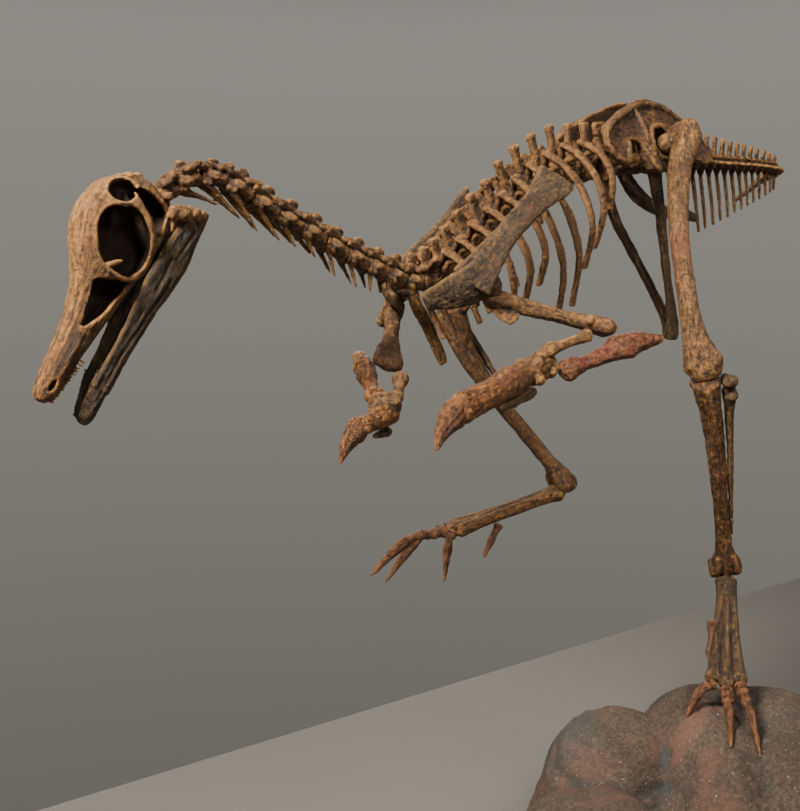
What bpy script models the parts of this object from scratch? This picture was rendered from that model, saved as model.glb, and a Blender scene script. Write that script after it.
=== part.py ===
"""Mounted skeleton of the small dinosaur Mononykus olecranus on a boulder, at life size.

Units are metres, +Z is up. The animal looks along -X and its left side is -Y; its midline
plane is Y = 0. The origin is on the flat underside of the boulder, straight below the hips.
Run with: blender --background --python part.py
"""
import math

import bmesh
import bpy
from mathutils import Matrix, Vector, noise
from mathutils.bvhtree import BVHTree

MM = 0.001
GAP = 0.0003
MERGE = 0.0001
FLAT_ANGLE = math.radians(1.0)
LEFT = -1
RIGHT = 1
LATERAL = Vector((0.0, 1.0, 0.0))
UP = Vector((0.0, 0.0, 1.0))

# Joint centres of the pose, in millimetres.
HIP_X, HIP_HALF_WIDTH, HIP_Z = -4.0, 23.0, 466.0
KNEE = {LEFT: (-24.0, -64.3, 335.5), RIGHT: (-104.5, 58.0, 374.5)}
ANKLE = {LEFT: (26.5, -51.3, 212.0), RIGHT: (-43.5, 14.5, 263.0)}
FOOT = {LEFT: (-14.9, -76.6, 160.5), RIGHT: (-105.5, 50.0, 241.5)}
SHIN_BOW = {LEFT: (1.5, -1.0, 0.0), RIGHT: (-5.0, 4.5, -2.0)}
FEMUR_BOW = {LEFT: (-10.4, 4.2, 0.0), RIGHT: (-1.4, -1.0, 2.6)}
SHOULDER = {LEFT: (-161.0, -31.0, 374.0), RIGHT: (-166.2, 35.2, 372.5)}
ELBOW = {LEFT: (-117.0, -64.9, 360.5), RIGHT: (-196.3, 6.8, 343.5)}
WRIST = {LEFT: (-157.6, -55.4, 341.6), RIGHT: (-214.7, -15.8, 320.5)}
KNUCKLE = {LEFT: (-213.6, -56.2, 324.8), RIGHT: (-237.0, -18.3, 316.8)}
CLAW_TIP = {LEFT: (-228.0, -58.5, 309.2), RIGHT: (-248.8, -19.1, 301.4)}
OLECRANON = {LEFT: (-93.6, -80.4, 355.2), RIGHT: (-191.9, 34.4, 346.7)}
ULNA_END = {LEFT: (-144.6, -60.8, 340.3), RIGHT: (-215.2, -4.9, 328.2)}
RADIUS_TOP = {LEFT: (-131.4, -64.7, 357.0), RIGHT: (-199.7, -5.8, 336.4)}
RADIUS_END = {LEFT: (-153.2, -56.8, 349.5), RIGHT: (-210.9, -14.8, 328.0)}
RIGHT_WRIST_BLOCK = (-217.0, -13.6, 324.8)

# Column: centre of each vertebra's body as (x, z), and the height of its spine above that.
NECK = [(-324, 414.5), (-314, 421), (-301, 423.5), (-288.5, 420), (-275.5, 413.5),
        (-262.5, 408), (-249.5, 403), (-236.5, 397.5), (-224, 393), (-211.5, 389),
        (-199.5, 385.5), (-188, 383.5)]
NECK_SPINE = [5, 7.5, 7.5, 8.5, 9, 9.5, 9.5, 9.5, 9.5, 9.5, 10.5, 13]
BACK = [(-176.5, 384), (-166, 388), (-155.5, 394.5), (-145, 402), (-134.5, 409.5),
        (-123.5, 417), (-112.5, 424), (-100.5, 430.5), (-88, 436.5), (-75, 441.5),
        (-61.5, 445), (-48, 448)]
BACK_SPINE = [16.5, 18, 19.5, 21, 22.5, 22.5, 26.5, 28.5, 29.5, 30, 28.5, 27.5]
FIRST_TALL_SPINE = 5
SACRALS = 7
SACRUM_PITCH = (13.0, 0.0, 1.75)
SACRUM_START = (-35.0, 0.0, 450.5)
SACRAL_SPINE = 27.0
TAIL_PATH = [(56, 0, 462.5), (96, 0, 465), (138, 2, 468), (178, 7, 470), (212, 28, 470.5),
             (246, 56, 470), (280, 84, 468), (298, 103, 465)]
TAIL_SPANS = [("tail_base", 9), ("tail_middle", 9), ("tail_tip", 11)]
CHEVRONS = 15
CHEVRON_LONG = 42.0

# Ribs, second to twelfth of the back: drop below the head of the rib, greatest half width
# of the chest there, and how far the rib leans back over its drop.
RIB_DROP = {LEFT: [27, 35, 40, 47, 46, 72, 74, 61, 56, 37, 22],
            RIGHT: [33, 50, 56, 48, 66, 70, 74, 70, 58, 42, 24]}
SHORT_RIB = 45
RIB_SIDES = 3
RIB_WIDTH = [22, 25, 28, 30, 31, 32, 33, 33, 32, 28, 13]
RIB_LEAN = [0.34, 0.34, 0.32, 0.30, 0.28, 0.24, 0.22, 0.22, 0.14, 0.14, 0.14]

# Skull, in its own frame: a runs down the snout, n up to the roof, origin at the jaw hinge.
HEAD_ORIGIN = Vector((-330.0, -2.0, 400.0)) * MM
HEAD_PITCH = math.radians(57.3)
ORBIT = [(5.0, 24.0), (12.5, 25.6), (19.0, 22.8), (25.4, 16.3), (27.2, 9.5), (24.4, 3.2),
         (18.3, -0.4), (11.2, 1.0), (5.8, 5.8), (2.4, 10.6), (1.0, 16.6)]
REAR_WINDOW = [(-5.8, 18.0), (-4.5, 2.4), (2.8, 0.3), (6.6, 1.8), (1.6, 9.0), (-2.6, 17.0)]
FORE_WINDOW = [(31.0, 14.0), (26.0, 2.5), (33.0, 2.6), (43.0, 4.0), (48.6, 8.4), (40.5, 11.4)]
TEETH = 3
SEPTUM = 1.0

# Boulder: axis u is turned from X, and its lobes are (u, v, ru, rv, height).
ROCK_CENTRE = Vector((-30.0, -73.0, 0.0)) * MM
ROCK_TURN = math.radians(-43.0)
ROCK_LOBES = [(8, 20, 52, 81, 146.5), (-49, 12.5, 53, 47.5, 138), (40, 25, 64, 95, 144),
              (-71, -50.5, 57, 67, 118), (30, -67, 50, 54.5, 95)]
ROCK_POWER = 2.8
ROCK_MIDDLE = (0.0, 6.0)
ROCK_HEART = 60.0
ROCK_SWELL, ROCK_SWELL_SIZE = 7.0 * MM, 44.0 * MM

# Where the claws of the standing foot touch the boulder, inner to outer.
STANDING_CLAWS = [(-34.4, -64.1), (-44.4, -97.3), (-33.9, -108.7)]
TOE_SPREAD = 7.4

BONE = (0.42, 0.27, 0.14, 1.0)
DARK_BONE = (0.16, 0.12, 0.07, 1.0)
RED_BONE = (0.42, 0.17, 0.10, 1.0)
CLAW = (0.36, 0.20, 0.09, 1.0)
STONE = (0.12, 0.11, 0.105, 1.0)


def mm(x, y, z):
    """Point given in millimetres."""
    return Vector((x, y, z)) * MM


def material(name, colour, roughness):
    """Principled material for one sub-part."""
    mat = bpy.data.materials.new(name)
    mat.use_nodes = True
    shader = mat.node_tree.nodes["Principled BSDF"]
    shader.inputs["Base Color"].default_value = colour
    shader.inputs["Roughness"].default_value = roughness
    shader.inputs["Metallic"].default_value = 0.0
    return mat


def solid(bm):
    """Loose object made from a closed bmesh, triangulated, faces pointing out."""
    bmesh.ops.triangulate(bm, faces=bm.faces)
    bmesh.ops.recalc_face_normals(bm, faces=bm.faces)
    mesh = bpy.data.meshes.new("piece")
    bm.to_mesh(mesh)
    bm.free()
    obj = bpy.data.objects.new("piece", mesh)
    bpy.context.scene.collection.objects.link(obj)
    return obj


def skin(rings):
    """Closed solid through rings of equal count, with a flat face at each end."""
    bm = bmesh.new()
    loops = [[bm.verts.new(p) for p in ring] for ring in rings]
    count = len(loops[0])
    for low, high in zip(loops, loops[1:]):
        for i in range(count):
            j = (i + 1) % count
            bm.faces.new((low[i], low[j], high[j], high[i]))
    bm.faces.new(loops[0])
    bm.faces.new(loops[-1])
    return solid(bm)


def smooth(values, t):
    """Catmull-Rom curve through values at t, counted in control points."""
    last = len(values) - 1
    i = min(int(t), last - 1)
    f = t - i
    a = values[max(i - 1, 0)]
    b = values[i]
    c = values[i + 1]
    d = values[min(i + 2, last)]
    return 0.5 * (2 * b + (c - a) * f + (2 * a - 5 * b + 4 * c - d) * f * f
                  + (3 * b - a - 3 * c + d) * f * f * f)


def sweep(stations, wide=LATERAL, sides=6, steps=1, turn=0.0):
    """Bone through stations (point, half width, half depth), half width along wide."""
    points = [Vector(s[0]) for s in stations]
    rings = []
    total = (len(stations) - 1) * steps
    for k in range(total + 1):
        t = k / steps
        centre = smooth(points, t)
        ahead = smooth(points, min(t + 0.02, len(points) - 1))
        behind = smooth(points, max(t - 0.02, 0))
        along = (ahead - behind).normalized()
        side = (wide - along * wide.dot(along)).normalized()
        deep = along.cross(side)
        half_width = max(smooth([s[1] for s in stations], t), 0.25) * MM
        half_depth = max(smooth([s[2] for s in stations], t), 0.25) * MM
        ring = []
        for i in range(sides):
            angle = turn + 2 * math.pi * (i + 0.5) / sides
            ring.append(centre + side * (math.cos(angle) * half_width)
                        + deep * (math.sin(angle) * half_depth))
        rings.append(ring)
    return skin(rings)


def bone(points, radii, **options):
    """Round bone through points in millimetres with these radii."""
    return sweep([(mm(*p), r, r) for p, r in zip(points, radii)], **options)


def box(low, high):
    """Block between two corners given in metres."""
    rings = []
    for z in (low[2], high[2]):
        rings.append([Vector((low[0], low[1], z)), Vector((high[0], low[1], z)),
                      Vector((high[0], high[1], z)), Vector((low[0], high[1], z))])
    return skin(rings)


def baked(obj):
    """Replace an object's mesh by what its modifiers make of it."""
    graph = bpy.context.evaluated_depsgraph_get()
    mesh = bpy.data.meshes.new_from_object(obj.evaluated_get(graph))
    obj.modifiers.clear()
    obj.data = mesh
    return obj


def tidy(obj):
    """Merge the hair-thin faces that a boolean leaves along its cuts, if it stays closed."""
    bm = bmesh.new()
    bm.from_mesh(obj.data)
    bmesh.ops.remove_doubles(bm, verts=bm.verts, dist=MERGE)
    bmesh.ops.dissolve_degenerate(bm, edges=bm.edges, dist=MERGE)
    bmesh.ops.dissolve_limit(bm, verts=bm.verts, edges=bm.edges, angle_limit=FLAT_ANGLE)
    bmesh.ops.triangulate(bm, faces=bm.faces)
    if all(edge.is_manifold for edge in bm.edges):
        bm.to_mesh(obj.data)
    bm.free()


def combine(target, others, operation):
    """Exact boolean of target with every other object, which is then removed."""
    group = bpy.data.collections.new("operands")
    bpy.context.scene.collection.children.link(group)
    for other in others:
        group.objects.link(other)
    mod = target.modifiers.new("combine", "BOOLEAN")
    mod.operation = operation
    mod.operand_type = "COLLECTION"
    mod.collection = group
    mod.solver = "EXACT"
    baked(target)
    tidy(target)
    for other in others:
        bpy.data.objects.remove(other)
    bpy.data.collections.remove(group)
    return target


def main_body(obj):
    """Keep only the largest connected part of a mesh."""
    bm = bmesh.new()
    bm.from_mesh(obj.data)
    bm.verts.ensure_lookup_table()
    seen = set()
    bodies = []
    for start in bm.verts:
        if start.index in seen:
            continue
        seen.add(start.index)
        stack = [start]
        body = []
        while stack:
            vert = stack.pop()
            body.append(vert)
            for edge in vert.link_edges:
                other = edge.other_vert(vert)
                if other.index not in seen:
                    seen.add(other.index)
                    stack.append(other)
        bodies.append(body)
    bodies.sort(key=len)
    for body in bodies[:-1]:
        bmesh.ops.delete(bm, geom=body, context="VERTS")
    bm.to_mesh(obj.data)
    bm.free()
    return obj


def union(pieces):
    """One body from overlapping pieces."""
    if len(pieces) == 1:
        return pieces[0]
    return combine(pieces[0], pieces[1:], "UNION")


def swollen(obj, distance):
    """Copy of an object grown by a distance along its vertex normals."""
    copy = bpy.data.objects.new("swollen", obj.data.copy())
    bpy.context.scene.collection.objects.link(copy)
    bm = bmesh.new()
    bm.from_mesh(copy.data)
    bm.normal_update()
    moves = [(v, v.normal * min(v.calc_shell_factor(), 2.4) * distance) for v in bm.verts]
    for vert, move in moves:
        vert.co += move
    bm.to_mesh(copy.data)
    bm.free()
    return copy


def carve(target, neighbours):
    """Cut the neighbours, grown by the gap, out of the target."""
    for neighbour in neighbours:
        combine(target, [swollen(neighbour, GAP * 1.3)], "DIFFERENCE")
    return main_body(target)


def finish(name, obj, colour, roughness=0.6):
    """Name a finished sub-part and give it its own material."""
    obj.name = name
    obj.data.name = name
    obj.data.materials.clear()
    obj.data.materials.append(material("mat_" + name, colour, roughness))
    obj.data.shade_smooth()
    obj.data.set_sharp_from_angle(angle=math.radians(38.0))
    return obj


def half_space(point, normal, size=0.5):
    """Large block on the side of a plane that its normal points to."""
    block = box((-size, -size, 0.0), (size, size, size))
    turn = Vector(normal).to_track_quat("Z", "Y").to_matrix().to_4x4()
    block.data.transform(Matrix.Translation(point) @ turn)
    return block


def keep_side(obj, point, normal):
    """Part of an object beyond a plane, leaving half the gap to the plane."""
    offset = Vector(point) + Vector(normal).normalized() * (GAP / 2)
    return combine(obj, [half_space(offset, normal)], "INTERSECT")


def spine_points():
    """Centres of all the vertebrae from the first of the neck to the tip of the tail."""
    points = [mm(x, 0.0, z) for x, z in NECK + BACK]
    start, pitch = mm(*SACRUM_START), mm(*SACRUM_PITCH)
    points += [start + pitch * i for i in range(SACRALS)]
    path = [mm(*p) for p in TAIL_PATH]
    fine = [smooth(path, k / 20) for k in range((len(path) - 1) * 20 + 1)]
    lengths = [0.0]
    for a, b in zip(fine, fine[1:]):
        lengths.append(lengths[-1] + (b - a).length)
    count = sum(number for _, number in TAIL_SPANS)
    for i in range(count):
        target = lengths[-1] * i / (count - 1)
        k = max(next(j for j, value in enumerate(lengths) if value >= target - 1e-9), 1)
        f = (target - lengths[k - 1]) / (lengths[k] - lengths[k - 1])
        points.append(fine[k - 1].lerp(fine[k], f))
    return points


def spine_frames(points):
    """(centre, along, across, up) of each vertebra, along towards the tail."""
    frames = []
    for i, point in enumerate(points):
        along = (points[min(i + 1, len(points) - 1)] - points[max(i - 1, 0)]).normalized()
        across = UP.cross(along).normalized()
        frames.append((point, along, across, along.cross(across).normalized()))
    return frames


def frame_at(frames, t):
    """Frame at a fractional vertebra number t."""
    t = min(max(t, -0.5), len(frames) - 0.5)
    i = min(max(int(math.floor(t)), 0), len(frames) - 2)
    f = t - i
    low, high = frames[i], frames[i + 1]
    mixed = [low[0].lerp(high[0], f)]
    for a, b in zip(low[1:], high[1:]):
        mixed.append(a.lerp(b, min(max(f, 0.0), 1.0)).normalized())
    return mixed


def column(frames, first, last, stations, ways):
    """Vertebrae first to last - 1 as one skin. stations(i) lists, for vertebra i, pairs of an
    offset in vertebra lengths and the corners (y, z) of the right half of the section there,
    from the underside's midline round to the top's; ways are the sides that are made."""
    rings = []
    for i in range(first, last):
        for offset, corners in stations(i):
            rings.append((i + offset, corners))
    rings.append((last - 0.5, stations(last - 1)[0][1]))
    pitch = (frames[first + 1][0] - frames[first][0]).length
    margin = 0.5 * GAP / pitch
    skins = []
    for t, corners in rings:
        t = min(max(t, first - 0.5 + margin), last - 0.5 - margin)
        centre, _, across, up = frame_at(frames, t)
        ring = []
        if len(ways) == 2:
            for y, z in corners:
                ring.append(centre + (across * y + up * z) * MM)
            for y, z in reversed(corners[1:-1]):
                ring.append(centre + (up * z - across * y) * MM)
        else:
            for y, z in corners:
                ring.append(centre + across * (ways[0] * max(y * MM, GAP / 2)) + up * (z * MM))
        skins.append(ring)
    return skin(skins)


NECK_COUNT = len(NECK)
BACK_COUNT = len(BACK)
BACK_END = NECK_COUNT + BACK_COUNT
SACRUM_END = BACK_END + SACRALS


# ---------------------------------------------------------------- neck

def neck_radius(i):
    """Radius of the body of neck vertebra i."""
    return 3.6 + 0.11 * i


def neck_stations(i):
    """Sections of one neck vertebra: joint, then the arch with its low spine and side wings."""
    r, h = neck_radius(i), NECK_SPINE[i]
    joint = [(0, -r), (0.85 * r, -0.4 * r), (r + 0.2, 0.5), (1.6, 0.62 * h), (0, 0.62 * h)]
    arch = [(0, -0.85 * r), (0.78 * r, -0.5 * r), (r + 3.4, 0.2), (1.5, h), (0, h)]
    return [(-0.5, joint), (0.10, arch)]


def make_neck(frames):
    """Neck in three lengths, from the atlas to the first vertebra of the back."""
    made = []
    for name, first, last in (("neck_front", 0, 4), ("neck_middle", 4, 8), ("neck_rear", 8, 12)):
        pieces = [column(frames, first, last, neck_stations, (LEFT, RIGHT))]
        for i in range(max(first, 2), last):
            centre, along, across, up = frames[i]
            needle = 9.0 if i == last - 1 else 14.5
            r = neck_radius(i)
            for side in (LEFT, RIGHT):
                out = across * side
                start = centre + (out * (0.55 * r) - up * (0.35 * r) - along * 2.5) * MM
                end = start + (along * (needle + 2.5) - up * (0.32 * needle) + out * (0.6 * r)) * MM
                pieces.append(sweep([(start, 1.3, 1.2), (end, 0.4, 0.4)], wide=out, sides=3))
        made.append((name, union(pieces)))
    return made


# ---------------------------------------------------------------- back and ribs

def rib(head, side, drop, width, lean, radius):
    """One rib from its head, out over the chest and down."""
    shape = [(0.0, 0.0, 0.0), (0.13, 0.50, 0.03), (0.36, 0.88, 0.30), (1.0, 0.84, 1.0)]
    if drop > SHORT_RIB:
        shape[3:] = [(0.66, 0.98, 0.68), (1.0, 0.66, 1.0)]
    inner = abs(head.y) / MM
    stations = []
    for k, (down, out, back) in enumerate(shape):
        y = side * (inner + (width - inner) * out)
        point = Vector((head.x + lean * drop * back * MM, y * MM, head.z - drop * down * MM))
        thick = radius * (1.0 - 0.30 * k / (len(shape) - 1))
        stations.append((point, thick * 1.3, thick * 0.85))
    return sweep(stations, wide=Vector((1.0, 0.0, 0.0)), sides=RIB_SIDES)


def back_stations(number):
    """Sections of one back vertebra: low and rough in front, a tall narrow post behind."""
    i = number - NECK_COUNT
    h = BACK_SPINE[i]
    r = 5.0 + 0.06 * i
    joint = [(0, -r), (0.87 * r, -0.4 * r), (0.8 * r, 0.30 * h), (1.7, 0.50 * h),
             (0, 0.50 * h)]
    post = [(0, -0.85 * r), (0.8 * r, -0.4 * r), (9.2, 0.62 * h), (1.5, h), (0, h)]
    if i < FIRST_TALL_SPINE:
        return [(-0.5, joint), (-0.22, post), (0.22, post)]
    return [(-0.5, joint), (-0.19, post), (0.19, post), (0.26, joint)]


def make_trunk(frames, side):
    """One side of the trunk: that half of the column with its ribs."""
    pieces = [column(frames, NECK_COUNT, BACK_END, back_stations, (side,))]
    for i, drop in enumerate(RIB_DROP[side]):
        centre, along, across, up = frames[NECK_COUNT + 1 + i]
        head = centre + (up * (0.60 * BACK_SPINE[i + 1]) + across * (side * 7.4)) * MM
        pieces.append(rib(head, side, drop, RIB_WIDTH[i], RIB_LEAN[i], 2.1))
    return union(pieces)


# ---------------------------------------------------------------- pelvis

def sacral_stations(number):
    """Sections of one fused vertebra, with its stout side strut to the hip blade."""
    f = (number - BACK_END) / (SACRALS - 1)
    h = SACRAL_SPINE - 9.0 * f
    joint = [(0, -4.6), (4.2, -2.0), (3.4, 5.0), (1.4, h), (0, h)]
    strut = [(0, -4.2), (4.0, -1.6), (15.5, 5.0), (1.4, h), (0, h)]
    return [(-0.5, joint), (0.0, strut)]


def make_sacrum(frames):
    """Fused vertebrae between the ilia, with one long crest of spines."""
    return column(frames, BACK_END, SACRUM_END, sacral_stations, (LEFT, RIGHT))


def blade_y(z):
    """Half distance between the ilia at height z in millimetres: they lean together on top."""
    lean = (z - 452.0) / 40.0
    return 20.0 - 12.0 * max(lean, 0.0) ** 1.15


def make_ilium(side):
    """Hip blade with its front hook, the open hip socket and the stubs below it."""
    edges = [(-57, 459, 468, 1.3), (-51, 453.5, 473, 1.6), (-44, 450.5, 477, 1.6),
             (-37.5, 450.5, 480.5, 1.6), (-34.5, 464, 482.5, 1.6), (-24, 465, 487, 2.0),
             (-18.5, 455, 489.5, 4.0), (-13, 449.5, 491.5, 5.0), (-3, 450, 493.5, 3.4),
             (7, 454, 493.5, 5.0), (14, 454, 491.8, 4.4), (19, 463, 490, 2.0),
             (32, 461.5, 483.5, 1.6), (46, 459.5, 476, 1.6), (56, 464, 469.5, 1.3)]
    rings = []
    for x, low, high, half in edges:
        middle = (low + high) / 2
        thick = max(1.6, 0.5 * half)
        ring = []
        for way in (-1, 1):
            levels = [(low, half), (middle, thick), (high, 1.6)]
            for z, width in levels if way < 0 else reversed(levels):
                ring.append(mm(x, side * (blade_y(z) + way * width), z))
        rings.append(ring)
    body = skin(rings)
    socket = mm(HIP_X, side * 21.0, HIP_Z + 1.0)
    out = LATERAL * (side * 12.0 * MM)
    hole = sweep([(socket - out, 8.0, 8.0), (socket + out, 8.8, 8.8)],
                 wide=Vector((1.0, 0.0, 0.0)), sides=10, turn=0.1)
    return combine(body, [hole], "DIFFERENCE")


def make_pubis(side):
    """Long rod from below the socket, down and back to its fellow at the midline."""
    points = [(-10, 18, 452), (-6, 16.5, 441), (3, 13.5, 424), (17, 9, 398), (30, 5.2, 374),
              (38, 3.4, 357), (40, 3.2, 352)]
    widths = [4.6, 3.4, 2.9, 2.7, 2.7, 3.2, 2.9]
    depths = [4.6, 4.0, 3.4, 3.2, 3.4, 5.6, 5.0]
    stations = []
    for (x, y, z), width, depth in zip(points, widths, depths):
        stations.append((mm(x, side * y, z), width, depth))
    body = sweep(stations, sides=5)
    return keep_side(body, (0.0, 0.0, 0.0), (0.0, side, 0.0))


def make_ischium(side):
    """Shorter bar behind the pubis, reaching back to the midline under the tail."""
    points = [(11, 18.0, 456), (16, 15.5, 446), (27, 10.5, 436), (44, 5.5, 430.5),
              (61, 2.6, 428)]
    widths = [4.0, 2.6, 2.2, 2.0, 1.9]
    depths = [4.6, 6.0, 5.0, 3.6, 2.8]
    stations = []
    for (x, y, z), width, depth in zip(points, widths, depths):
        stations.append((mm(x, side * y, z), width, depth))
    body = sweep(stations, sides=5)
    return keep_side(body, (0.0, 0.0, 0.0), (0.0, side, 0.0))


# ---------------------------------------------------------------- tail

def tail_stations(number):
    """Sections of one tail vertebra, smaller and plainer towards the tip."""
    f = (number - SACRUM_END) / (sum(n for _, n in TAIL_SPANS) - 1)
    r = 4.4 * (1.0 - f) + 1.4 * f
    h = 1.5 * r + 14.0 * (1.0 - f) ** 1.6
    wing = r + 11.0 * (1.0 - f) ** 2.2
    joint = [(0, -r), (0.9 * r, -0.2 * r), (0.75 * r, 0.9 * r), (0.7, r + 0.35 * (h - r)),
             (0, r + 0.35 * (h - r))]
    body = [(0, -0.85 * r), (wing, -0.1 * r), (0.7 * r, 0.9 * r), (0.8, h), (0, h)]
    if number >= SACRUM_END + TAIL_SPANS[0][1]:
        return [(-0.5, [joint[0], joint[1], joint[3], joint[4]]),
                (0.10, [body[0], body[1], body[3], body[4]])]
    return [(-0.5, joint), (0.10, body)]


def make_tail(frames):
    """Tail in three lengths, with the row of long chevrons under its front half."""
    made = []
    first = SACRUM_END
    for name, number in TAIL_SPANS:
        last = first + number
        pieces = [column(frames, first, last, tail_stations, (LEFT, RIGHT))]
        for i in range(first, last):
            k = i - SACRUM_END
            if k >= CHEVRONS:
                continue
            centre, along, across, up = frame_at(frames, i + 0.3)
            long = CHEVRON_LONG * (1.0 - 0.058 * k)
            root = centre - up * (1.5 * MM)
            tip = root + (along * 0.16 - up) * (long * MM)
            pieces.append(sweep([(root, 1.1, 2.1), (tip, 0.7, 1.0)], wide=across, sides=3))
        made.append((name, union(pieces)))
        first = last
    return made


# ---------------------------------------------------------------- skull

def head_point(a, n, y):
    """Point of the skull's frame, all in millimetres."""
    along = Vector((-math.cos(HEAD_PITCH), 0.0, -math.sin(HEAD_PITCH)))
    roof = Vector((-math.sin(HEAD_PITCH), 0.0, math.cos(HEAD_PITCH)))
    return HEAD_ORIGIN + (along * a + roof * n + LATERAL * y) * MM


def skull_ring(a, top, low, half, roundness, sides):
    """Cross-section of the skull: narrow rounded roof, straighter cheeks."""
    ring = []
    for i in range(sides):
        angle = 2 * math.pi * (i + 0.5) / sides
        c, s = math.cos(angle), math.sin(angle)
        y = half * math.copysign(abs(c) ** roundness, c)
        up = math.copysign(abs(s) ** 0.85, s)
        narrow = 1.0 - 0.16 * max(up, 0.0)
        ring.append(head_point(a, (top + low) / 2 + (top - low) / 2 * up, y * narrow))
    return ring


SKULL_SECTIONS = [(-13.5, 18, 9, 5.0), (-10.5, 22, 4, 8.0), (-7, 25.6, 0.4, 11.0),
                  (-3, 28.6, -1.8, 12.8), (6, 30.4, -2.6, 14.4), (14, 29.6, -2.8, 13.9),
                  (21, 26.8, -2.3, 12.4), (28, 22.4, -1.6, 10.2), (37, 17.4, -1.0, 7.8),
                  (50, 13.8, 0.2, 6.0), (69, 11.4, 1.8, 4.8), (77, 10.0, 2.4, 4.0),
                  (80.5, 8.2, 4.2, 2.6)]


def window(points, depth_from, depth_to, side):
    """Prism through the cheek whose outline is points (a, n)."""
    rings = []
    for y in (depth_from, depth_to):
        rings.append([head_point(a, n, side * y) for a, n in points])
    return skin(rings)


def ellipse(centre, radii, count):
    """Points of an ellipse in the (a, n) plane."""
    points = []
    for i in range(count):
        angle = 2 * math.pi * i / count
        points.append((centre[0] + radii[0] * math.cos(angle),
                       centre[1] + radii[1] * math.sin(angle)))
    return points


def tooth_row(start, end, lean, count, side, half):
    """Small cones along one side of a jaw tip, between two (a, n) points."""
    teeth = []
    for i in range(count):
        f = i / (count - 1)
        a = start[0] + (end[0] - start[0]) * f
        n = start[1] + (end[1] - start[1]) * f
        y = side * (half[0] + (half[1] - half[0]) * f)
        teeth.append(sweep([(head_point(a, n, y), 0.65, 0.65),
                            (head_point(a, n + lean, y), 0.25, 0.25)], sides=3))
    return teeth


def make_skull():
    """Long tapering skull with large eye openings, solid where nothing shows its inside."""
    body = skin([skull_ring(a, top, low, half, 0.66, 8) for a, top, low, half in SKULL_SECTIONS])
    occiput = sweep([(head_point(-9.0, 7.0, 0.0), 4.6, 4.6),
                     (head_point(-15.0, 5.0, 0.0), 3.0, 3.0)], sides=6)
    pieces = [body, occiput]
    for side in (LEFT, RIGHT):
        pieces.append(sweep([(head_point(-7.0, 0.5, side * 10.5), 1.8, 3.0),
                             (head_point(-9.5, -3.5, side * 9.8), 2.4, 3.0),
                             (head_point(-12.8, -8.4, side * 9.6), 2.0, 2.6)], sides=6))
        pieces += tooth_row((63.0, 4.0), (76.0, 5.0), -4.4, TEETH, side, (3.7, 2.4))
    body = union(pieces)
    for side in (LEFT, RIGHT):
        openings = [window(outline, SEPTUM, 20.0, side)
                    for outline in (REAR_WINDOW, FORE_WINDOW, ORBIT)]
        top = sweep([(head_point(-2.5, 20.0, side * 5.0), 5.4, 5.4),
                     (head_point(-2.0, 29.0, side * 20.0), 5.8, 5.8)],
                    wide=Vector((1.0, 0.0, 0.0)), sides=8)
        combine(body, openings, "DIFFERENCE")
        combine(body, [top], "DIFFERENCE")
    return main_body(body)


def make_mandible():
    """Lower jaw: two thin deep plates that meet in a blunt tip, hung a little open."""
    sections = [(-16.5, -11.5, -13.8, 8.6), (-13.0, -9.2, -13.7, 9.4), (-3.0, -6.2, -14.3, 10.2),
                (8.0, -3.4, -15.4, 10.2), (20.0, -2.9, -14.8, 9.4), (30.0, -3.8, -14.0, 8.4),
                (46.0, -6.2, -14.0, 6.2), (66.0, -6.9, -14.5, 4.4)]
    pieces = []
    for side in (LEFT, RIGHT):
        rings = []
        for a, top, low, y in sections:
            deep = top - low
            corners = [(y - 1.6, low + 0.1 * deep), (y, low), (y + 0.8, low + 0.4 * deep),
                       (y + 0.5, top), (y - 1.0, top - 0.1 * deep)]
            rings.append([head_point(a, n, side * v) for v, n in corners])
        pieces.append(skin(rings))
        pieces += tooth_row((62.5, -9.2), (73.0, -10.4), 4.8, TEETH, side, (4.3, 2.9))
    tip = [(56.0, -6.2, -14.0, 5.9), (64.0, -6.4, -14.6, 5.4), (73.0, -7.8, -15.3, 4.6),
           (77.5, -9.4, -15.2, 3.6), (79.8, -11.6, -14.4, 2.0)]
    pieces.append(skin([skull_ring(a, top, low, half, 0.7, 8) for a, top, low, half in tip]))
    return union(pieces)


# ---------------------------------------------------------------- shoulder, arm and hand

SHOULDER_BLADE = {
    LEFT: [(-118, -34, 436), (-124, -35.5, 431.5), (-138, -36.5, 422), (-152, -36.5, 411),
           (-163, -35.5, 400.5), (-171, -33.5, 390.5), (-177, -30.5, 382)],
    RIGHT: [(-114, 27, 428), (-120, 28.5, 423.5), (-132, 30, 414.5), (-144, 30.5, 405),
            (-156, 31, 395.5), (-166, 31, 387), (-176, 30, 380.5)]}


def make_scapula(side):
    """Shoulder blade: a flared strap along the ribs, with the rough plate by the chest."""
    widths = [11.6, 9.6, 5.8, 5.2, 5.8, 8.4, 11.0]
    stations = [(mm(*p), 1.5, width) for p, width in zip(SHOULDER_BLADE[side], widths)]
    plate = sweep([(mm(-171, side * 32.5, 385), 2.8, 10.0), (mm(-179, side * 27.0, 379), 2.4, 9.5),
                   (mm(-187, side * 10.0, 373), 1.6, 5.0)], sides=5)
    socket = bone([(-171, side * 31.5, 384), (-163.5, side * 31.0, 379.5)], [5.0, 5.6], sides=6)
    return union([sweep(stations, sides=5), plate, socket])


def make_sternum():
    """Keeled breast bone, hanging between the shoulder plates."""
    return sweep([(mm(-186, 0, 375.5), 1.8, 2.8), (mm(-183.5, 0, 371), 2.2, 3.4),
                  (mm(-176, 0, 361), 1.8, 3.4), (mm(-168, 0, 348), 1.6, 3.4),
                  (mm(-164.5, 0, 342.5), 1.4, 2.4)], sides=6)


def between(a, b, f):
    """Point at fraction f from a to b, in metres, from millimetre triples."""
    return mm(*a).lerp(mm(*b), f)


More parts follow.
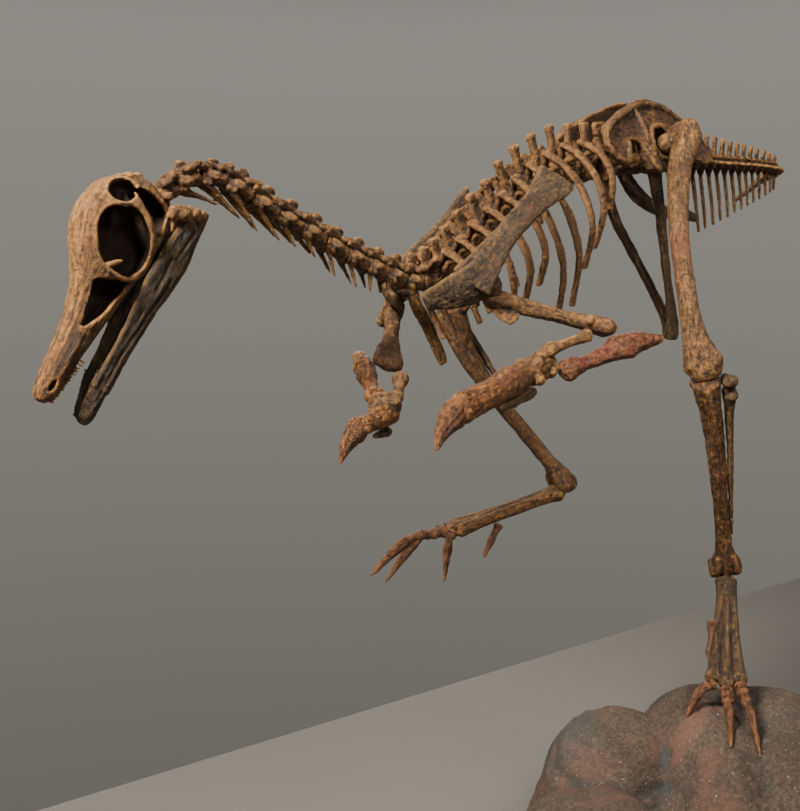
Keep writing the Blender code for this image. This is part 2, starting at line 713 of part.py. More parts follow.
# Humerus: fraction along it, half width across the hinge, half depth.
HUMERUS_SIZES = {
    LEFT: [(-0.06, 5.2, 4.0), (0.06, 6.0, 4.8), (0.30, 3.8, 4.2), (0.60, 3.4, 3.4),
           (0.84, 4.6, 4.0), (0.98, 5.6, 4.6), (1.06, 4.4, 3.4)],
    RIGHT: [(-0.06, 4.6, 4.0), (0.06, 6.0, 4.8), (0.30, 4.4, 4.4), (0.60, 4.0, 4.0),
            (0.80, 6.0, 4.6), (0.96, 8.4, 5.4), (1.05, 7.2, 4.2)]}
CREST_PLACE = {LEFT: (0.02, 0.10, 0.20), RIGHT: (0.06, 0.20, 0.32)}


def make_humerus(side):
    """Upper arm bone with its large crest and rolled lower end."""
    top, end = SHOULDER[side], ELBOW[side]
    along = (mm(*end) - mm(*top)).normalized()
    crest_way = Vector((-0.25, 0.25 * side, -0.9))
    crest_way = (crest_way - along * crest_way.dot(along)).normalized()
    side_way = along.cross(crest_way)
    shaft = sweep([(between(top, end, f), half_width, half_depth)
                   for f, half_width, half_depth in HUMERUS_SIZES[side]],
                  wide=side_way, sides=7)
    root, middle, tip = CREST_PLACE[side]
    crest = sweep([(between(top, end, root), 2.0, 4.2),
                   (between(top, end, middle) + crest_way * (4.0 * MM), 1.9, 5.4),
                   (between(top, end, tip) + crest_way * (7.6 * MM), 1.4, 3.6)],
                  wide=side_way, sides=4)
    return union([shaft, crest])


# Ulna: fraction from the point behind the elbow, half width towards the upper arm, half
# depth, and how far the bone's middle is raised there.
ULNA_SIZES = {
    LEFT: [(0.0, 2.0, 2.4, 0.0), (0.12, 3.6, 3.6, 0.6), (0.30, 6.2, 4.8, 1.8),
           (0.46, 6.4, 4.8, 1.8), (0.60, 4.6, 4.2, 0.8), (0.78, 3.7, 3.6, 0.0),
           (0.94, 5.4, 4.8, 0.0), (1.0, 4.4, 4.2, 0.0)],
    RIGHT: [(0.0, 1.8, 2.4, 0.0), (0.12, 3.6, 4.0, 0.0), (0.34, 6.0, 6.2, 0.0),
            (0.54, 5.6, 6.2, 0.0), (0.72, 3.2, 3.4, 0.0), (0.84, 3.2, 3.2, 0.0),
            (0.95, 4.8, 4.8, 0.0), (1.0, 4.0, 4.0, 0.0)]}


def make_ulna(side):
    """Forearm bone with the very long point behind the elbow."""
    point, end = OLECRANON[side], ULNA_END[side]
    wide = (mm(*SHOULDER[side]) - mm(*ELBOW[side])).normalized()
    return sweep([(between(point, end, f) + UP * (lift * MM), half_width, half_depth)
                  for f, half_width, half_depth, lift in ULNA_SIZES[side]], wide=wide, sides=6)


def make_radius(side):
    """Thin second bone of the forearm, beside the ulna."""
    top, end = RADIUS_TOP[side], RADIUS_END[side]
    sizes = [(0.0, 3.2), (0.3, 2.3), (0.68, 2.3), (0.92, 3.6), (1.0, 3.1)]
    if side == RIGHT:
        sizes = [(0.0, 4.2), (0.3, 2.9), (0.7, 2.7), (1.0, 3.4)]
    return sweep([(between(top, end, f), r, r) for f, r in sizes])


def hand_axes(side):
    """Direction of the hand, its broad side and the way its claw bends."""
    along = (mm(*KNUCKLE[side]) - mm(*WRIST[side])).normalized()
    bend = (mm(*CLAW_TIP[side]) - mm(*KNUCKLE[side]))
    bend = (bend - along * bend.dot(along)).normalized()
    return along, along.cross(bend), bend


# Wrist: distance from the wrist's point along the block, half width, half depth.
WRIST_SIZES = {
    LEFT: [(-7.0, 4.4, 4.8), (-2.0, 5.8, 6.2), (6.0, 6.0, 6.2), (13.0, 5.2, 6.0)],
    RIGHT: [(-4.4, 6.6, 4.6), (-2.0, 8.2, 5.6), (1.6, 8.0, 5.4), (4.0, 6.4, 4.6)]}
# Finger: fraction from wrist to knuckle, half width, half depth.
FINGER_SIZES = {
    LEFT: [(0.22, 5.2, 6.7), (0.34, 5.4, 6.8), (0.58, 4.6, 6.0), (0.80, 4.6, 6.1),
           (0.92, 5.0, 6.6), (0.99, 4.2, 5.4)],
    RIGHT: [(-0.04, 4.0, 4.2), (0.30, 4.8, 5.0), (0.55, 4.3, 4.5), (0.80, 4.4, 4.5),
            (0.92, 4.8, 4.8), (0.99, 4.0, 4.2)]}


def make_carpus(side):
    """Block of wrist bones."""
    along, broad, bend = hand_axes(side)
    start = mm(*WRIST[side])
    if side == RIGHT:
        along, broad, start = -UP, Vector((0.73, -0.68, 0.0)), mm(*RIGHT_WRIST_BLOCK)
    return sweep([(start + along * (d * MM), half_width, half_depth)
                  for d, half_width, half_depth in WRIST_SIZES[side]], wide=broad, sides=8)


def make_finger(side):
    """The one large finger: a massive bone with a roller end."""
    wrist, knuckle = WRIST[side], KNUCKLE[side]
    along, broad, bend = hand_axes(side)
    return sweep([(between(wrist, knuckle, f), half_width, half_depth)
                  for f, half_width, half_depth in FINGER_SIZES[side]], wide=broad, sides=8)


def make_splint(side):
    """Small second bone lying under the finger."""
    wrist, knuckle = WRIST[side], KNUCKLE[side]
    along, broad, bend = hand_axes(side)
    drop = bend * ((8.8 if side == LEFT else 7.0) * MM)
    stations = []
    for f, half_width, half_depth in ((0.12, 1.6, 1.8), (0.24, 2.6, 2.8), (0.38, 2.2, 2.2),
                                      (0.56, 1.6, 1.4)):
        stations.append((between(wrist, knuckle, f) + drop, half_width, half_depth))
    return sweep(stations, wide=broad, sides=6)


def make_claw(side):
    """Large curved claw of the hand."""
    knuckle, tip = KNUCKLE[side], CLAW_TIP[side]
    along, broad, bend = hand_axes(side)
    start = mm(*knuckle)
    length = (mm(*tip) - start).length
    deep = 4.3 if side == LEFT else 5.0
    stations = [(start - along * (2.0 * MM) - bend * (1.0 * MM), 3.6, deep),
                (start + along * (3.2 * MM) + bend * (0.5 * MM), 3.8, deep * 1.06),
                (start + (along * 0.40 + bend * 0.22) * length, 3.0, deep * 0.84),
                (start + (along * 0.62 + bend * 0.50) * length, 2.2, deep * 0.56),
                (mm(*tip), 0.5, 0.5)]
    return sweep(stations, wide=broad, sides=5)


# ---------------------------------------------------------------- boulder

def rock_point(u, v, z):
    """Point of the boulder's own frame, in millimetres."""
    c, s = math.cos(ROCK_TURN), math.sin(ROCK_TURN)
    return ROCK_CENTRE + mm(u * c - v * s, u * s + v * c, z)


def lobe_height(u, v):
    """Height in millimetres of the boulder's top, the highest of its lobes."""
    best = 0.0
    for cu, cv, ru, rv, height in ROCK_LOBES:
        r = math.hypot((u - cu) / ru, (v - cv) / rv)
        if r < 1.0:
            best = max(best, height * (1.0 - r ** ROCK_POWER) ** (1.0 / ROCK_POWER))
    return best


def rock_swell(point):
    """Broad swells and hollows of the stone's surface, outward from its middle."""
    away = (point - rock_point(*ROCK_MIDDLE, ROCK_HEART)).normalized()
    seed = Vector((3.1, 7.7, 1.9))
    return away * (noise.noise(point / ROCK_SWELL_SIZE + seed) * ROCK_SWELL)


def make_rock():
    """Boulder of rounded lobes with a flat underside, as rings about one upright axis."""
    sides = 28
    shares = [0.975, 1.0, 0.98, 0.93, 0.86, 0.76, 0.62, 0.46, 0.30, 0.14]
    rise = [0.0, 0.16, 0.36]
    mid_u, mid_v = ROCK_MIDDLE
    rings = []
    for k, share in enumerate(shares):
        ring = []
        for i in range(sides):
            angle = 2 * math.pi * i / sides
            c, s = math.cos(angle), math.sin(angle)
            reach = 200.0
            while lobe_height(mid_u + reach * c, mid_v + reach * s) <= 0.0:
                reach -= 1.0
            inner = lobe_height(mid_u + 0.90 * reach * c, mid_v + 0.90 * reach * s)
            u, v = mid_u + reach * share * c, mid_v + reach * share * s
            z = inner * rise[k] if k < len(rise) else lobe_height(u, v)
            point = rock_point(u, v, z)
            if z > 0.0:
                point += rock_swell(point)
            ring.append(point)
        rings.append(ring)
    return skin(rings)


# ---------------------------------------------------------------- leg and foot

def leg_side(side):
    """Sideways direction of a leg's hinge joints."""
    thigh = mm(*KNEE[side]) - mm(HIP_X, side * HIP_HALF_WIDTH, HIP_Z)
    shank = mm(*ANKLE[side]) - mm(*KNEE[side])
    axis = thigh.cross(shank).normalized()
    if axis.y * side < 0:
        axis = -axis
    return axis


def make_femur(side):
    """Thigh bone: round head turned in to the socket, bowed shaft, two knuckles below."""
    head = (HIP_X, side * HIP_HALF_WIDTH, HIP_Z)
    top = (HIP_X + 4.0, side * (HIP_HALF_WIDTH + 12.5), HIP_Z + 4.0)
    knee = KNEE[side]
    axis = leg_side(side)
    bow = mm(*FEMUR_BOW[side])
    stations = []
    for f, half_width, half_depth, bend in ((-0.045, 5.0, 6.0, 0.0), (0.02, 8.0, 7.4, 0.12),
                                            (0.13, 6.6, 6.0, 0.66), (0.30, 5.9, 5.4, 0.98),
                                            (0.45, 5.5, 5.2, 1.04), (0.60, 5.4, 5.0, 0.90),
                                            (0.80, 5.9, 5.2, 0.65), (0.92, 9.4, 7.6, 0.32),
                                            (0.99, 10.6, 8.4, 0.06), (1.03, 8.6, 6.4, 0.0)):
        stations.append((between(top, knee, f) + bow * bend, half_width, half_depth))
    shaft = sweep(stations, wide=axis, sides=8)
    neck = sweep([(between(top, head, 0.0), 5.4, 5.4), (between(top, head, 0.55), 4.4, 4.6),
                  (between(top, head, 0.86), 5.6, 5.6), (between(top, head, 1.22), 3.4, 3.4)],
                 wide=Vector((1.0, 0.0, 0.0)), sides=7)
    return union([shaft, neck])


def make_tibia(side):
    """Shin bone: deep head with a front crest, straight shaft, pulley at the ankle."""
    knee, ankle = KNEE[side], ANKLE[side]
    axis = leg_side(side)
    along = (mm(*ankle) - mm(*knee)).normalized()
    fore = axis.cross(along).normalized() * side
    bow = mm(*SHIN_BOW[side])
    near = axis * (-1.0 * MM)
    stations = []
    for f, half_width, half_depth, bend in ((0.05, 8.2, 9.6, 0.2), (0.13, 6.8, 8.6, 0.5),
                                            (0.26, 5.6, 6.4, 1.0), (0.45, 5.1, 4.9, 1.0),
                                            (0.70, 4.4, 4.2, 0.5), (0.87, 5.2, 4.6, 0.1),
                                            (0.95, 9.4, 6.4, 0.0), (1.0, 8.6, 5.6, 0.0)):
        point = between(knee, ankle, f) + bow * bend + near * (1.0 - f)
        stations.append((point, half_width, half_depth))
    return sweep(stations, wide=axis, sides=7)


def make_fibula(side):
    """Splint beside the shin, wide above and ending in a point."""
    knee, ankle = KNEE[side], ANKLE[side]
    axis = leg_side(side)
    along = (mm(*ankle) - mm(*knee)).normalized()
    fore = axis.cross(along).normalized() * side
    bow = mm(*SHIN_BOW[side])
    if side == LEFT:
        out, reach = axis * 10.4 * MM, 0.80
    else:
        out, reach = (axis * 8.0 - fore * 10.5) * MM, 0.58
    stations = []
    for f, near, half_width, half_depth in ((0.05, 1.0, 3.6, 5.0), (0.13, 0.95, 3.2, 4.4),
                                            (0.28, 0.82, 2.6, 3.0),
                                            (0.55 * reach + 0.1, 0.64, 1.7, 2.0),
                                            (reach, 0.48, 0.8, 0.9)):
        stations.append((between(knee, ankle, f) + bow * (1.0 - f) + out * near,
                         half_width, half_depth))
    return sweep(stations, wide=axis, sides=5)


def toe_roots(side):
    """Ends of the three long foot bones, inner to outer, and the foot's directions."""
    ankle, foot = mm(*ANKLE[side]), mm(*FOOT[side])
    along = (foot - ankle).normalized()
    if side == LEFT:
        across = Vector((0.64, -0.74, 0.0))
    else:
        across = Vector((0.35, 0.62, 0.0))
    across = (across - along * across.dot(along)).normalized()
    fore = across.cross(along).normalized() * -side
    inner = foot - across * (TOE_SPREAD * MM) - along * (3.0 * MM)
    outer = foot + across * (TOE_SPREAD * MM) - along * (4.0 * MM)
    return along, across, fore, [inner, foot, outer]


def make_metatarsus(side):
    """Three long foot bones, pressed together above and spreading at the toes."""
    ankle = mm(*ANKLE[side])
    along, across, fore, roots = toe_roots(side)
    top = ankle + along * (7.0 * MM)
    pieces = [sweep([(top - along * MM, 7.8, 6.0), (top + along * (4.0 * MM), 6.6, 5.4),
                     (top + along * (10.0 * MM), 5.4, 4.6)], wide=across, sides=7)]
    for way, root in zip((-1, 0, 1), roots):
        start = top + across * (way * 3.2 * MM)
        middle = start.lerp(root, 0.5) - across * (way * 0.8 * MM)
        slim = 2.0 if way == 0 else 2.8
        back = -fore * ((1.0 if way == 0 else 0.0) * MM)
        pieces.append(sweep([(start, 3.4, 4.2), (middle + back, slim, 3.3),
                             (root - along * MM, 4.0, 4.0),
                             (root + along * (2.4 * MM), 3.4, 3.4)], wide=across, sides=5))
    return union(pieces)


def make_toe(points, radius, joints):
    """Toe as a string of small bones, thick at the joints, ending in a pointed claw."""
    path = [Vector(p) for p in points]
    last = len(path) - 1
    stations = []
    for k in range(joints):
        t = k * (last - 1) / joints if last > 1 else 0.45 * k / joints
        size = radius * (1.0 - 0.34 * k / joints)
        stations.append((smooth(path, t), size, size))
        half = t + 0.5 * ((last - 1) / joints if last > 1 else 0.45 / joints)
        stations.append((smooth(path, half), size * 0.68, size * 0.66))
    claw = last - 1 if last > 1 else 0.45
    size = radius * 0.70
    stations.append((smooth(path, claw), size * 0.9, size * 1.05))
    stations.append((smooth(path, claw + 0.5 * (last - claw)), size * 0.55, size * 0.72))
    stations.append((path[-1], 0.3, 0.3))
    flat = (path[-1] - path[0]).cross(UP).normalized()
    return sweep(stations, wide=flat, sides=5)


def make_toes(side, ground):
    """Inner, middle and outer toe and the small first toe of one foot. ground is the tree of
    the boulder's faces that the standing foot's claws reach down to."""
    along, across, fore, roots = toe_roots(side)
    if side == LEFT:
        ends = []
        for x, y in STANDING_CLAWS:
            touch = ground.ray_cast(mm(x, y, 300.0), -UP)[0]
            ends.append(touch + UP * (1.1 * MM))
        lift = UP * (5.0 * MM)
        first = [mm(3.0, -57.5, 189.0), mm(-2.5, -59.0, 180.0), mm(-9.0, -62.5, 168.5)]
    else:
        ends = [mm(-118.5, 44.5, 213.5), mm(-153.0, 69.5, 218.0), mm(-136.0, 76.0, 210.0)]
        lift = UP * (8.0 * MM)
        first = [mm(-84.0, 34.0, 243.0), mm(-90.0, 33.5, 236.0), mm(-97.0, 33.5, 226.0)]
    toes = []
    names = ("toe_inner", "toe_middle", "toe_outer")
    for name, root, end, radius, joints in zip(names, roots, ends, (3.6, 3.9, 3.6), (2, 3, 3)):
        start = root + along * (5.0 * MM)
        toes.append((name, make_toe([start, start.lerp(end, 0.5) + lift, end], radius, joints)))
    toes.append(("toe_first", make_toe(first, 2.6, 1)))
    return toes


# ---------------------------------------------------------------- assembly

def main():
    for obj in list(bpy.data.objects):
        bpy.data.objects.remove(obj)

    frames = spine_frames(spine_points())
    skull = make_skull()
    mandible = carve(make_mandible(), [skull])
    neck = make_neck(frames)
    carve(neck[0][1], [skull, mandible])
    sacrum = make_sacrum(frames)
    rock = make_rock()
    ground = BVHTree.FromObject(rock, bpy.context.evaluated_depsgraph_get())

    finish("skull", skull, BONE)
    finish("mandible", mandible, DARK_BONE)
    for name, part in neck + make_tail(frames):
        finish(name, part, BONE)
    finish("sternum", make_sternum(), BONE)
    finish("stand_rock", rock, STONE, 0.85)

    for side, word in ((LEFT, "left"), (RIGHT, "right")):
        trunk = make_trunk(frames, side)
        ilium = make_ilium(side)
        carve(sacrum, [ilium])
        pubis = carve(make_pubis(side), [ilium])
        ischium = carve(make_ischium(side), [ilium, pubis])
        scapula = carve(make_scapula(side), [trunk])
        humerus = carve(make_humerus(side), [scapula])
        ulna = carve(make_ulna(side), [humerus])
        radius = carve(make_radius(side), [humerus, ulna])
        carpus = carve(make_carpus(side), [ulna, radius])
        finger = carve(make_finger(side), [carpus])
        splint = carve(make_splint(side), [finger, carpus])
        claw = carve(make_claw(side), [finger])
        femur = carve(make_femur(side), [ilium])
        tibia = carve(make_tibia(side), [femur])
        fibula = carve(make_fibula(side), [femur, tibia])
        metatarsus = carve(make_metatarsus(side), [tibia])
        finish("trunk_" + word, trunk, BONE)
        finish("ilium_" + word, ilium, BONE)
        finish("pubis_" + word, pubis, DARK_BONE)
        finish("ischium_" + word, ischium, DARK_BONE)
        finish("scapula_" + word, scapula, BONE)
        finish("humerus_" + word, humerus, BONE)
        finish("ulna_" + word, ulna, RED_BONE)
        finish("radius_" + word, radius, BONE)
        finish("wrist_" + word, carpus, BONE)
        finish("finger_" + word, finger, RED_BONE)
        finish("finger_splint_" + word, splint, DARK_BONE)
        finish("hand_claw_" + word, claw, CLAW)
        finish("femur_" + word, femur, BONE)
        finish("tibia_" + word, tibia, BONE)
        finish("fibula_" + word, fibula, DARK_BONE)
        finish("foot_bones_" + word, metatarsus, BONE)
        for name, toe in make_toes(side, ground):
            touching = [metatarsus]
            if side == LEFT and name != "toe_first":
                touching.append(rock)
            carve(toe, touching)
            finish(name + "_" + word, toe, CLAW)
    finish("sacrum", sacrum, BONE)


main()
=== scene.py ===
"""Mounted skeleton of the small dinosaur Mononykus olecranus on a boulder: its looks.

Every CAD node is replaced by a detailed piece: overlapping closed shells are modelled from
named sizes, fused on a fine grid, smoothed, and roughened like old bone or stone.
Units are metres, +Z up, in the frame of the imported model. The animal looks along -X, its left
side is -Y. Sizes in tables and in the helpers' arguments are millimetres.
"""

import math

import bmesh
import bpy
import numpy as np
from mathutils import Matrix, Vector, noise
from mathutils.bvhtree import BVHTree


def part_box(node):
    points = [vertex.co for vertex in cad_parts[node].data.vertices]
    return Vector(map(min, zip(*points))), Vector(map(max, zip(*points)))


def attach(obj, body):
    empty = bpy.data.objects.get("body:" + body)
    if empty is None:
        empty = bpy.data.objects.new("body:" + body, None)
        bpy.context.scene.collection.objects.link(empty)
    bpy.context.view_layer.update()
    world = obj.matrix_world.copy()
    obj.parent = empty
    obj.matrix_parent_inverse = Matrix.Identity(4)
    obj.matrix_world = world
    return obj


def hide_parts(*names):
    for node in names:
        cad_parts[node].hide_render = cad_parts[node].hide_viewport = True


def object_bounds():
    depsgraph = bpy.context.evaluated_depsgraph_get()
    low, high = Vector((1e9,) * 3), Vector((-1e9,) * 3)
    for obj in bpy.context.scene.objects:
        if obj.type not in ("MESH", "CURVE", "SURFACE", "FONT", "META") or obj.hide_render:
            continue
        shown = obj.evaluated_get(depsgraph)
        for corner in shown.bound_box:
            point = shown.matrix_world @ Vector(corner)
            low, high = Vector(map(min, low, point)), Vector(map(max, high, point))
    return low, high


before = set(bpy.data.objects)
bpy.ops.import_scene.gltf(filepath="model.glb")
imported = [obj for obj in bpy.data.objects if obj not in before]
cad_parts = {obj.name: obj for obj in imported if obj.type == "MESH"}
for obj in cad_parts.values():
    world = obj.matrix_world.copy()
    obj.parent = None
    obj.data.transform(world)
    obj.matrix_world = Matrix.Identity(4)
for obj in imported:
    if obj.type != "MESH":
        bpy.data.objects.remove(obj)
cad_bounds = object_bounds()
CAD_LOW, CAD_HIGH = (np.array(corner) for corner in cad_bounds)

MM = 0.001
LEFT = -1
RIGHT = 1
SIDES = ((LEFT, "left"), (RIGHT, "right"))
LENGTHWISE = Vector((1.0, 0.0, 0.0))
LATERAL = Vector((0.0, 1.0, 0.0))
UP = Vector((0.0, 0.0, 1.0))
# How far each half of the trunk ends from the middle.
MIDLINE_GAP = 0.15

# Sweeps: least half width of a section, size of their end caps, and half the step along them
# that gives their direction.
LEAST_HALF, END_SIZE, NUDGE = 0.25, 0.62, 0.02
HOOP_SIDES = 8
# Grids on which pieces are fused, in metres.
FINE, MEDIUM, COARSE, STONE_GRID = 0.00045, 0.00055, 0.0007, 0.0018
# Weathering: the pushes of one round of relaxing, how far the skin swells, how deep and wide
# its fibres are and how far their length is squeezed in the noise, and layers of lumps as
# (size, depth, seed).
RELAX = (0.6, -0.25)
SWELL = 0.30
GRAIN_DEPTH, GRAIN_WIDTH, GRAIN_SQUEEZE = 0.30, 1.7, 0.14
BONE_ROUGH = [(7.0, 0.30, 1), (2.6, 0.22, 2), (1.2, 0.14, 3)]
FINE_ROUGH = [(5.0, 0.18, 1), (2.0, 0.14, 2), (1.0, 0.10, 3)]
SKULL_ROUGH = [(9.0, 0.22, 1), (3.0, 0.12, 2), (1.3, 0.08, 3)]
JAW_ROUGH = [(9.0, 0.2, 1), (3.0, 0.12, 2), (1.3, 0.09, 3)]
ULNA_ROUGH = [(5.0, 0.55, 1), (2.2, 0.40, 2), (1.2, 0.20, 3)]
TOE_ROUGH = [(4.0, 0.30, 1), (1.8, 0.24, 2), (1.0, 0.12, 3)]
ROCK_ROUGH = [(30.0, 1.5, 9), (17.0, 1.1, 6), (8.0, 0.5, 7), (3.6, 0.3, 8)]
# Hollowness, which the materials paint as shade in hollows and as a highlight on ridges: rounds of
# smoothing and weight of its near part and of its wide part.
NEAR_ROUNDS, NEAR_WEIGHT = 3, 5.0
WIDE_ROUNDS, WIDE_WEIGHT = 14, 7.0

# Pose: joint centres and ends of bones, and how far the leg's long bones bow out of line.
HIP_X, HIP_HALF_WIDTH, HIP_Z = -4.0, 23.0, 466.0
KNEE = {LEFT: (-24.0, -64.3, 335.5), RIGHT: (-104.5, 58.0, 374.5)}
ANKLE = {LEFT: (26.5, -51.3, 212.0), RIGHT: (-43.5, 14.5, 263.0)}
FOOT = {LEFT: (-14.9, -76.6, 160.5), RIGHT: (-105.5, 50.0, 241.5)}
SHIN_BOW = {LEFT: (1.5, -1.0, 0.0), RIGHT: (-5.0, 4.5, -2.0)}
FEMUR_BOW = {LEFT: (-10.4, 4.2, 0.0), RIGHT: (-1.4, -1.0, 2.6)}
SHOULDER = {LEFT: (-161.0, -31.0, 374.0), RIGHT: (-166.2, 35.2, 372.5)}
ELBOW = {LEFT: (-117.0, -64.9, 360.5), RIGHT: (-196.3, 6.8, 343.5)}
WRIST = {LEFT: (-157.6, -55.4, 341.6), RIGHT: (-214.7, -15.8, 320.5)}
KNUCKLE = {LEFT: (-213.6, -56.2, 324.8), RIGHT: (-237.0, -18.3, 316.8)}
CLAW_TIP = {LEFT: (-228.0, -58.5, 309.2), RIGHT: (-248.8, -19.1, 301.4)}
OLECRANON = {LEFT: (-93.6, -80.4, 355.2), RIGHT: (-191.9, 34.4, 346.7)}
ULNA_END = {LEFT: (-144.6, -60.8, 340.3), RIGHT: (-215.2, -4.9, 328.2)}
RADIUS_TOP = {LEFT: (-131.4, -64.7, 357.0), RIGHT: (-199.7, -5.8, 336.4)}
RADIUS_END = {LEFT: (-153.2, -56.8, 349.5), RIGHT: (-210.9, -14.8, 328.0)}
RIGHT_WRIST_BLOCK = (-217.0, -13.6, 324.8)

# Column: centre of each vertebra's body as (x, z), and the height of its spine above that.
# Spans: node, then its first and end vertebra in the neck, or its number of them in the tail.
NECK = [(-324, 414.5), (-314, 421), (-301, 423.5), (-288.5, 420), (-275.5, 413.5),
        (-262.5, 408), (-249.5, 403), (-236.5, 397.5), (-224, 393), (-211.5, 389),
        (-199.5, 385.5), (-188, 383.5)]
NECK_SPINE = [5, 7.5, 7.5, 8.5, 9, 9.5, 9.5, 9.5, 9.5, 9.5, 10.5, 13]
NECK_SPANS = [("neck_front", 0, 4), ("neck_middle", 4, 8), ("neck_rear", 8, 12)]
BACK = [(-176.5, 384), (-166, 388), (-155.5, 394.5), (-145, 402), (-134.5, 409.5),
        (-123.5, 417), (-112.5, 424), (-100.5, 430.5), (-88, 436.5), (-75, 441.5),
        (-61.5, 445), (-48, 448)]
BACK_SPINE = [16.5, 18, 19.5, 21, 22.5, 22.5, 26.5, 28.5, 29.5, 30, 28.5, 27.5]
FIRST_TALL_SPINE = 5
SACRALS = 7
SACRUM_PITCH = (13.0, 0.0, 1.75)
SACRUM_START = (-35.0, 0.0, 450.5)
SACRAL_SPINE = 27.0
TAIL_PATH = [(56, 0, 462.5), (96, 0, 465), (138, 2, 468), (178, 7, 470), (212, 28, 470.5),
             (246, 56, 470), (280, 84, 468), (298, 103, 465)]
TAIL_SPANS = [("tail_base", 9), ("tail_middle", 9), ("tail_tip", 11)]
TAIL_COUNT = sum(number for _, number in TAIL_SPANS)
CHEVRONS = 15
CHEVRON_LONG = 42.0
# Ribs: how far each hangs down, its width from the middle and its lean to the tail. Those that
# hang less than SHORT_RIB stay wide at their tips.
RIB_DROP = {LEFT: [27, 35, 40, 47, 46, 72, 74, 61, 56, 37, 22],
            RIGHT: [33, 50, 56, 48, 66, 70, 74, 70, 58, 42, 24]}
RIB_WIDTH = [22, 25, 28, 30, 31, 32, 33, 33, 32, 28, 13]
RIB_LEAN = [0.34, 0.34, 0.32, 0.30, 0.28, 0.24, 0.22, 0.22, 0.14, 0.14, 0.14]
SHORT_RIB = 45

HEAD_ORIGIN = Vector((-330.0, -2.0, 400.0)) * MM
HEAD_PITCH = math.radians(57.3)
HEAD_ALONG = Vector((-math.cos(HEAD_PITCH), 0.0, -math.sin(HEAD_PITCH)))
HEAD_ROOF = Vector((-math.sin(HEAD_PITCH), 0.0, math.cos(HEAD_PITCH)))

ROCK_CENTRE = Vector((-30.0, -73.0, 0.0)) * MM
ROCK_TURN = math.radians(-43.0)
# Lobes: centre (u, v), radii along u and v, height. ROCK_POWER makes their flanks blunt;
# swells point away from ROCK_HEART.
ROCK_LOBES = [(8, 20, 52, 81, 146.5), (-49, 12.5, 53, 47.5, 138), (40, 25, 64, 95, 144),
              (-71, -50.5, 57, 67, 118), (30, -67, 50, 54.5, 95)]
ROCK_POWER = 2.8
ROCK_ROWS, ROCK_SIDES = 40, 96
ROCK_HEART = (0.0, 6.0, 60.0)
ROCK_SWELL, ROCK_SWELL_SIZE = 7.0 * MM, 44.0 * MM
# Where the claws of the standing foot touch the boulder, inner to outer, and how far apart
# the three long bones of a foot end.
STANDING_CLAWS = [(-34.4, -64.1), (-44.4, -97.3), (-33.9, -108.7)]
TOE_SPREAD = 7.4


# ------------------------------------------------------------------ modelling kit

def mm(x, y, z):
    """Point given in millimetres."""
    return Vector((x, y, z)) * MM


def placed(origin, *ways):
    """Maker of points so many millimetres along each of these directions from an origin."""
    return lambda *steps: origin + sum((w * s for w, s in zip(ways, steps)), Vector()) * MM


def limb(start, end, *ways):
    """Maker of points at a fraction from start to end, and so far along other directions."""
    start, end = mm(*start), mm(*end)
    return lambda f, *steps: placed(start.lerp(end, f), *ways)(*steps)


def on_side(side):
    """Maker of points of the whole animal, with y measured outward on one side."""
    return placed(Vector(), LENGTHWISE, LATERAL * side, UP)


def squared(way, along):
    """Direction way, made square to along."""
    return (way - along * way.dot(along)).normalized()


def turns(count, shift=0.0):
    """Cosine and sine of evenly spaced angles round a circle."""
    angles = [2 * math.pi * (i + shift) / count for i in range(count)]
    return [(math.cos(angle), math.sin(angle)) for angle in angles]


def skin(rings):
    """Closed shell (points, faces) through rings of equal count."""
    count = len(rings[0])
    faces = []
    for k in range(len(rings) - 1):
        low, high = k * count, (k + 1) * count
        for i in range(count):
            j = (i + 1) % count
            faces.append((low + i, low + j, high + j, high + i))
    last = (len(rings) - 1) * count
    faces += [tuple(range(count)), tuple(range(last, last + count))]
    return [p for ring in rings for p in ring], faces


def smooth(values, t):
    """Catmull-Rom curve through values at t, counted in control points."""
    last = len(values) - 1
    i = min(int(t), last - 1)
    f = t - i
    a, b, c, d = (values[max(0, min(i + step, last))] for step in (-1, 0, 1, 2))
    return 0.5 * (2 * b + (c - a) * f + (2 * a - 5 * b + 4 * c - d) * f * f
                  + (3 * b - a - 3 * c + d) * f * f * f)


def smooth_rows(rows, steps):
    """Rows of numbers, with steps smooth ones from each to the next."""
    columns = list(zip(*rows))
    return [[smooth(column, k / steps) for column in columns]
            for k in range((len(rows) - 1) * steps + 1)]


def sweep(stations, wide=LATERAL, sides=14, steps=4, square=1.0, cap=0.45):
    """Bone through stations (point, half width, half depth), half width along wide. square
    below 1 makes the section boxier; cap rounds both ends, as a share of their thickness."""
    points, widths, depths = zip(*stations)
    last = len(points) - 1
    rows = []
    for k in range(last * steps + 1):
        t = k / steps
        ahead, behind = smooth(points, min(t + NUDGE, last)), smooth(points, max(t - NUDGE, 0))
        along = (ahead - behind).normalized()
        w, d = (max(smooth(sizes, t), LEAST_HALF) * MM for sizes in (widths, depths))
        rows.append((smooth(points, t), along, squared(wide, along), w, d))
    ends = []
    for way, (centre, along, side, w, d) in ((-1, rows[0]), (1, rows[-1])):
        ends.append((centre + along * (way * cap * min(w, d)), along, side, w * END_SIZE,
                     d * END_SIZE))
    rings = []
    for centre, along, side, w, d in (ends[0], *rows, ends[1]):
        deep = along.cross(side)
        rings.append([centre + side * (math.copysign(abs(c) ** square, c) * w)
                      + deep * (math.copysign(abs(s) ** square, s) * d)
                      for c, s in turns(sides, 0.5)])
    return skin(rings)


def loft(at, rows, size=1.0, **options):
    """Bone through rows (place for at, half width, half depth), sizes in units of size."""
    return sweep([(at(*place), w * size, d * size) for *place, w, d in rows], **options)


def rod(at, rows, **options):
    """Round bone through rows (place for at, radius)."""
    return loft(at, [(*row, row[-1]) for row in rows], **options)


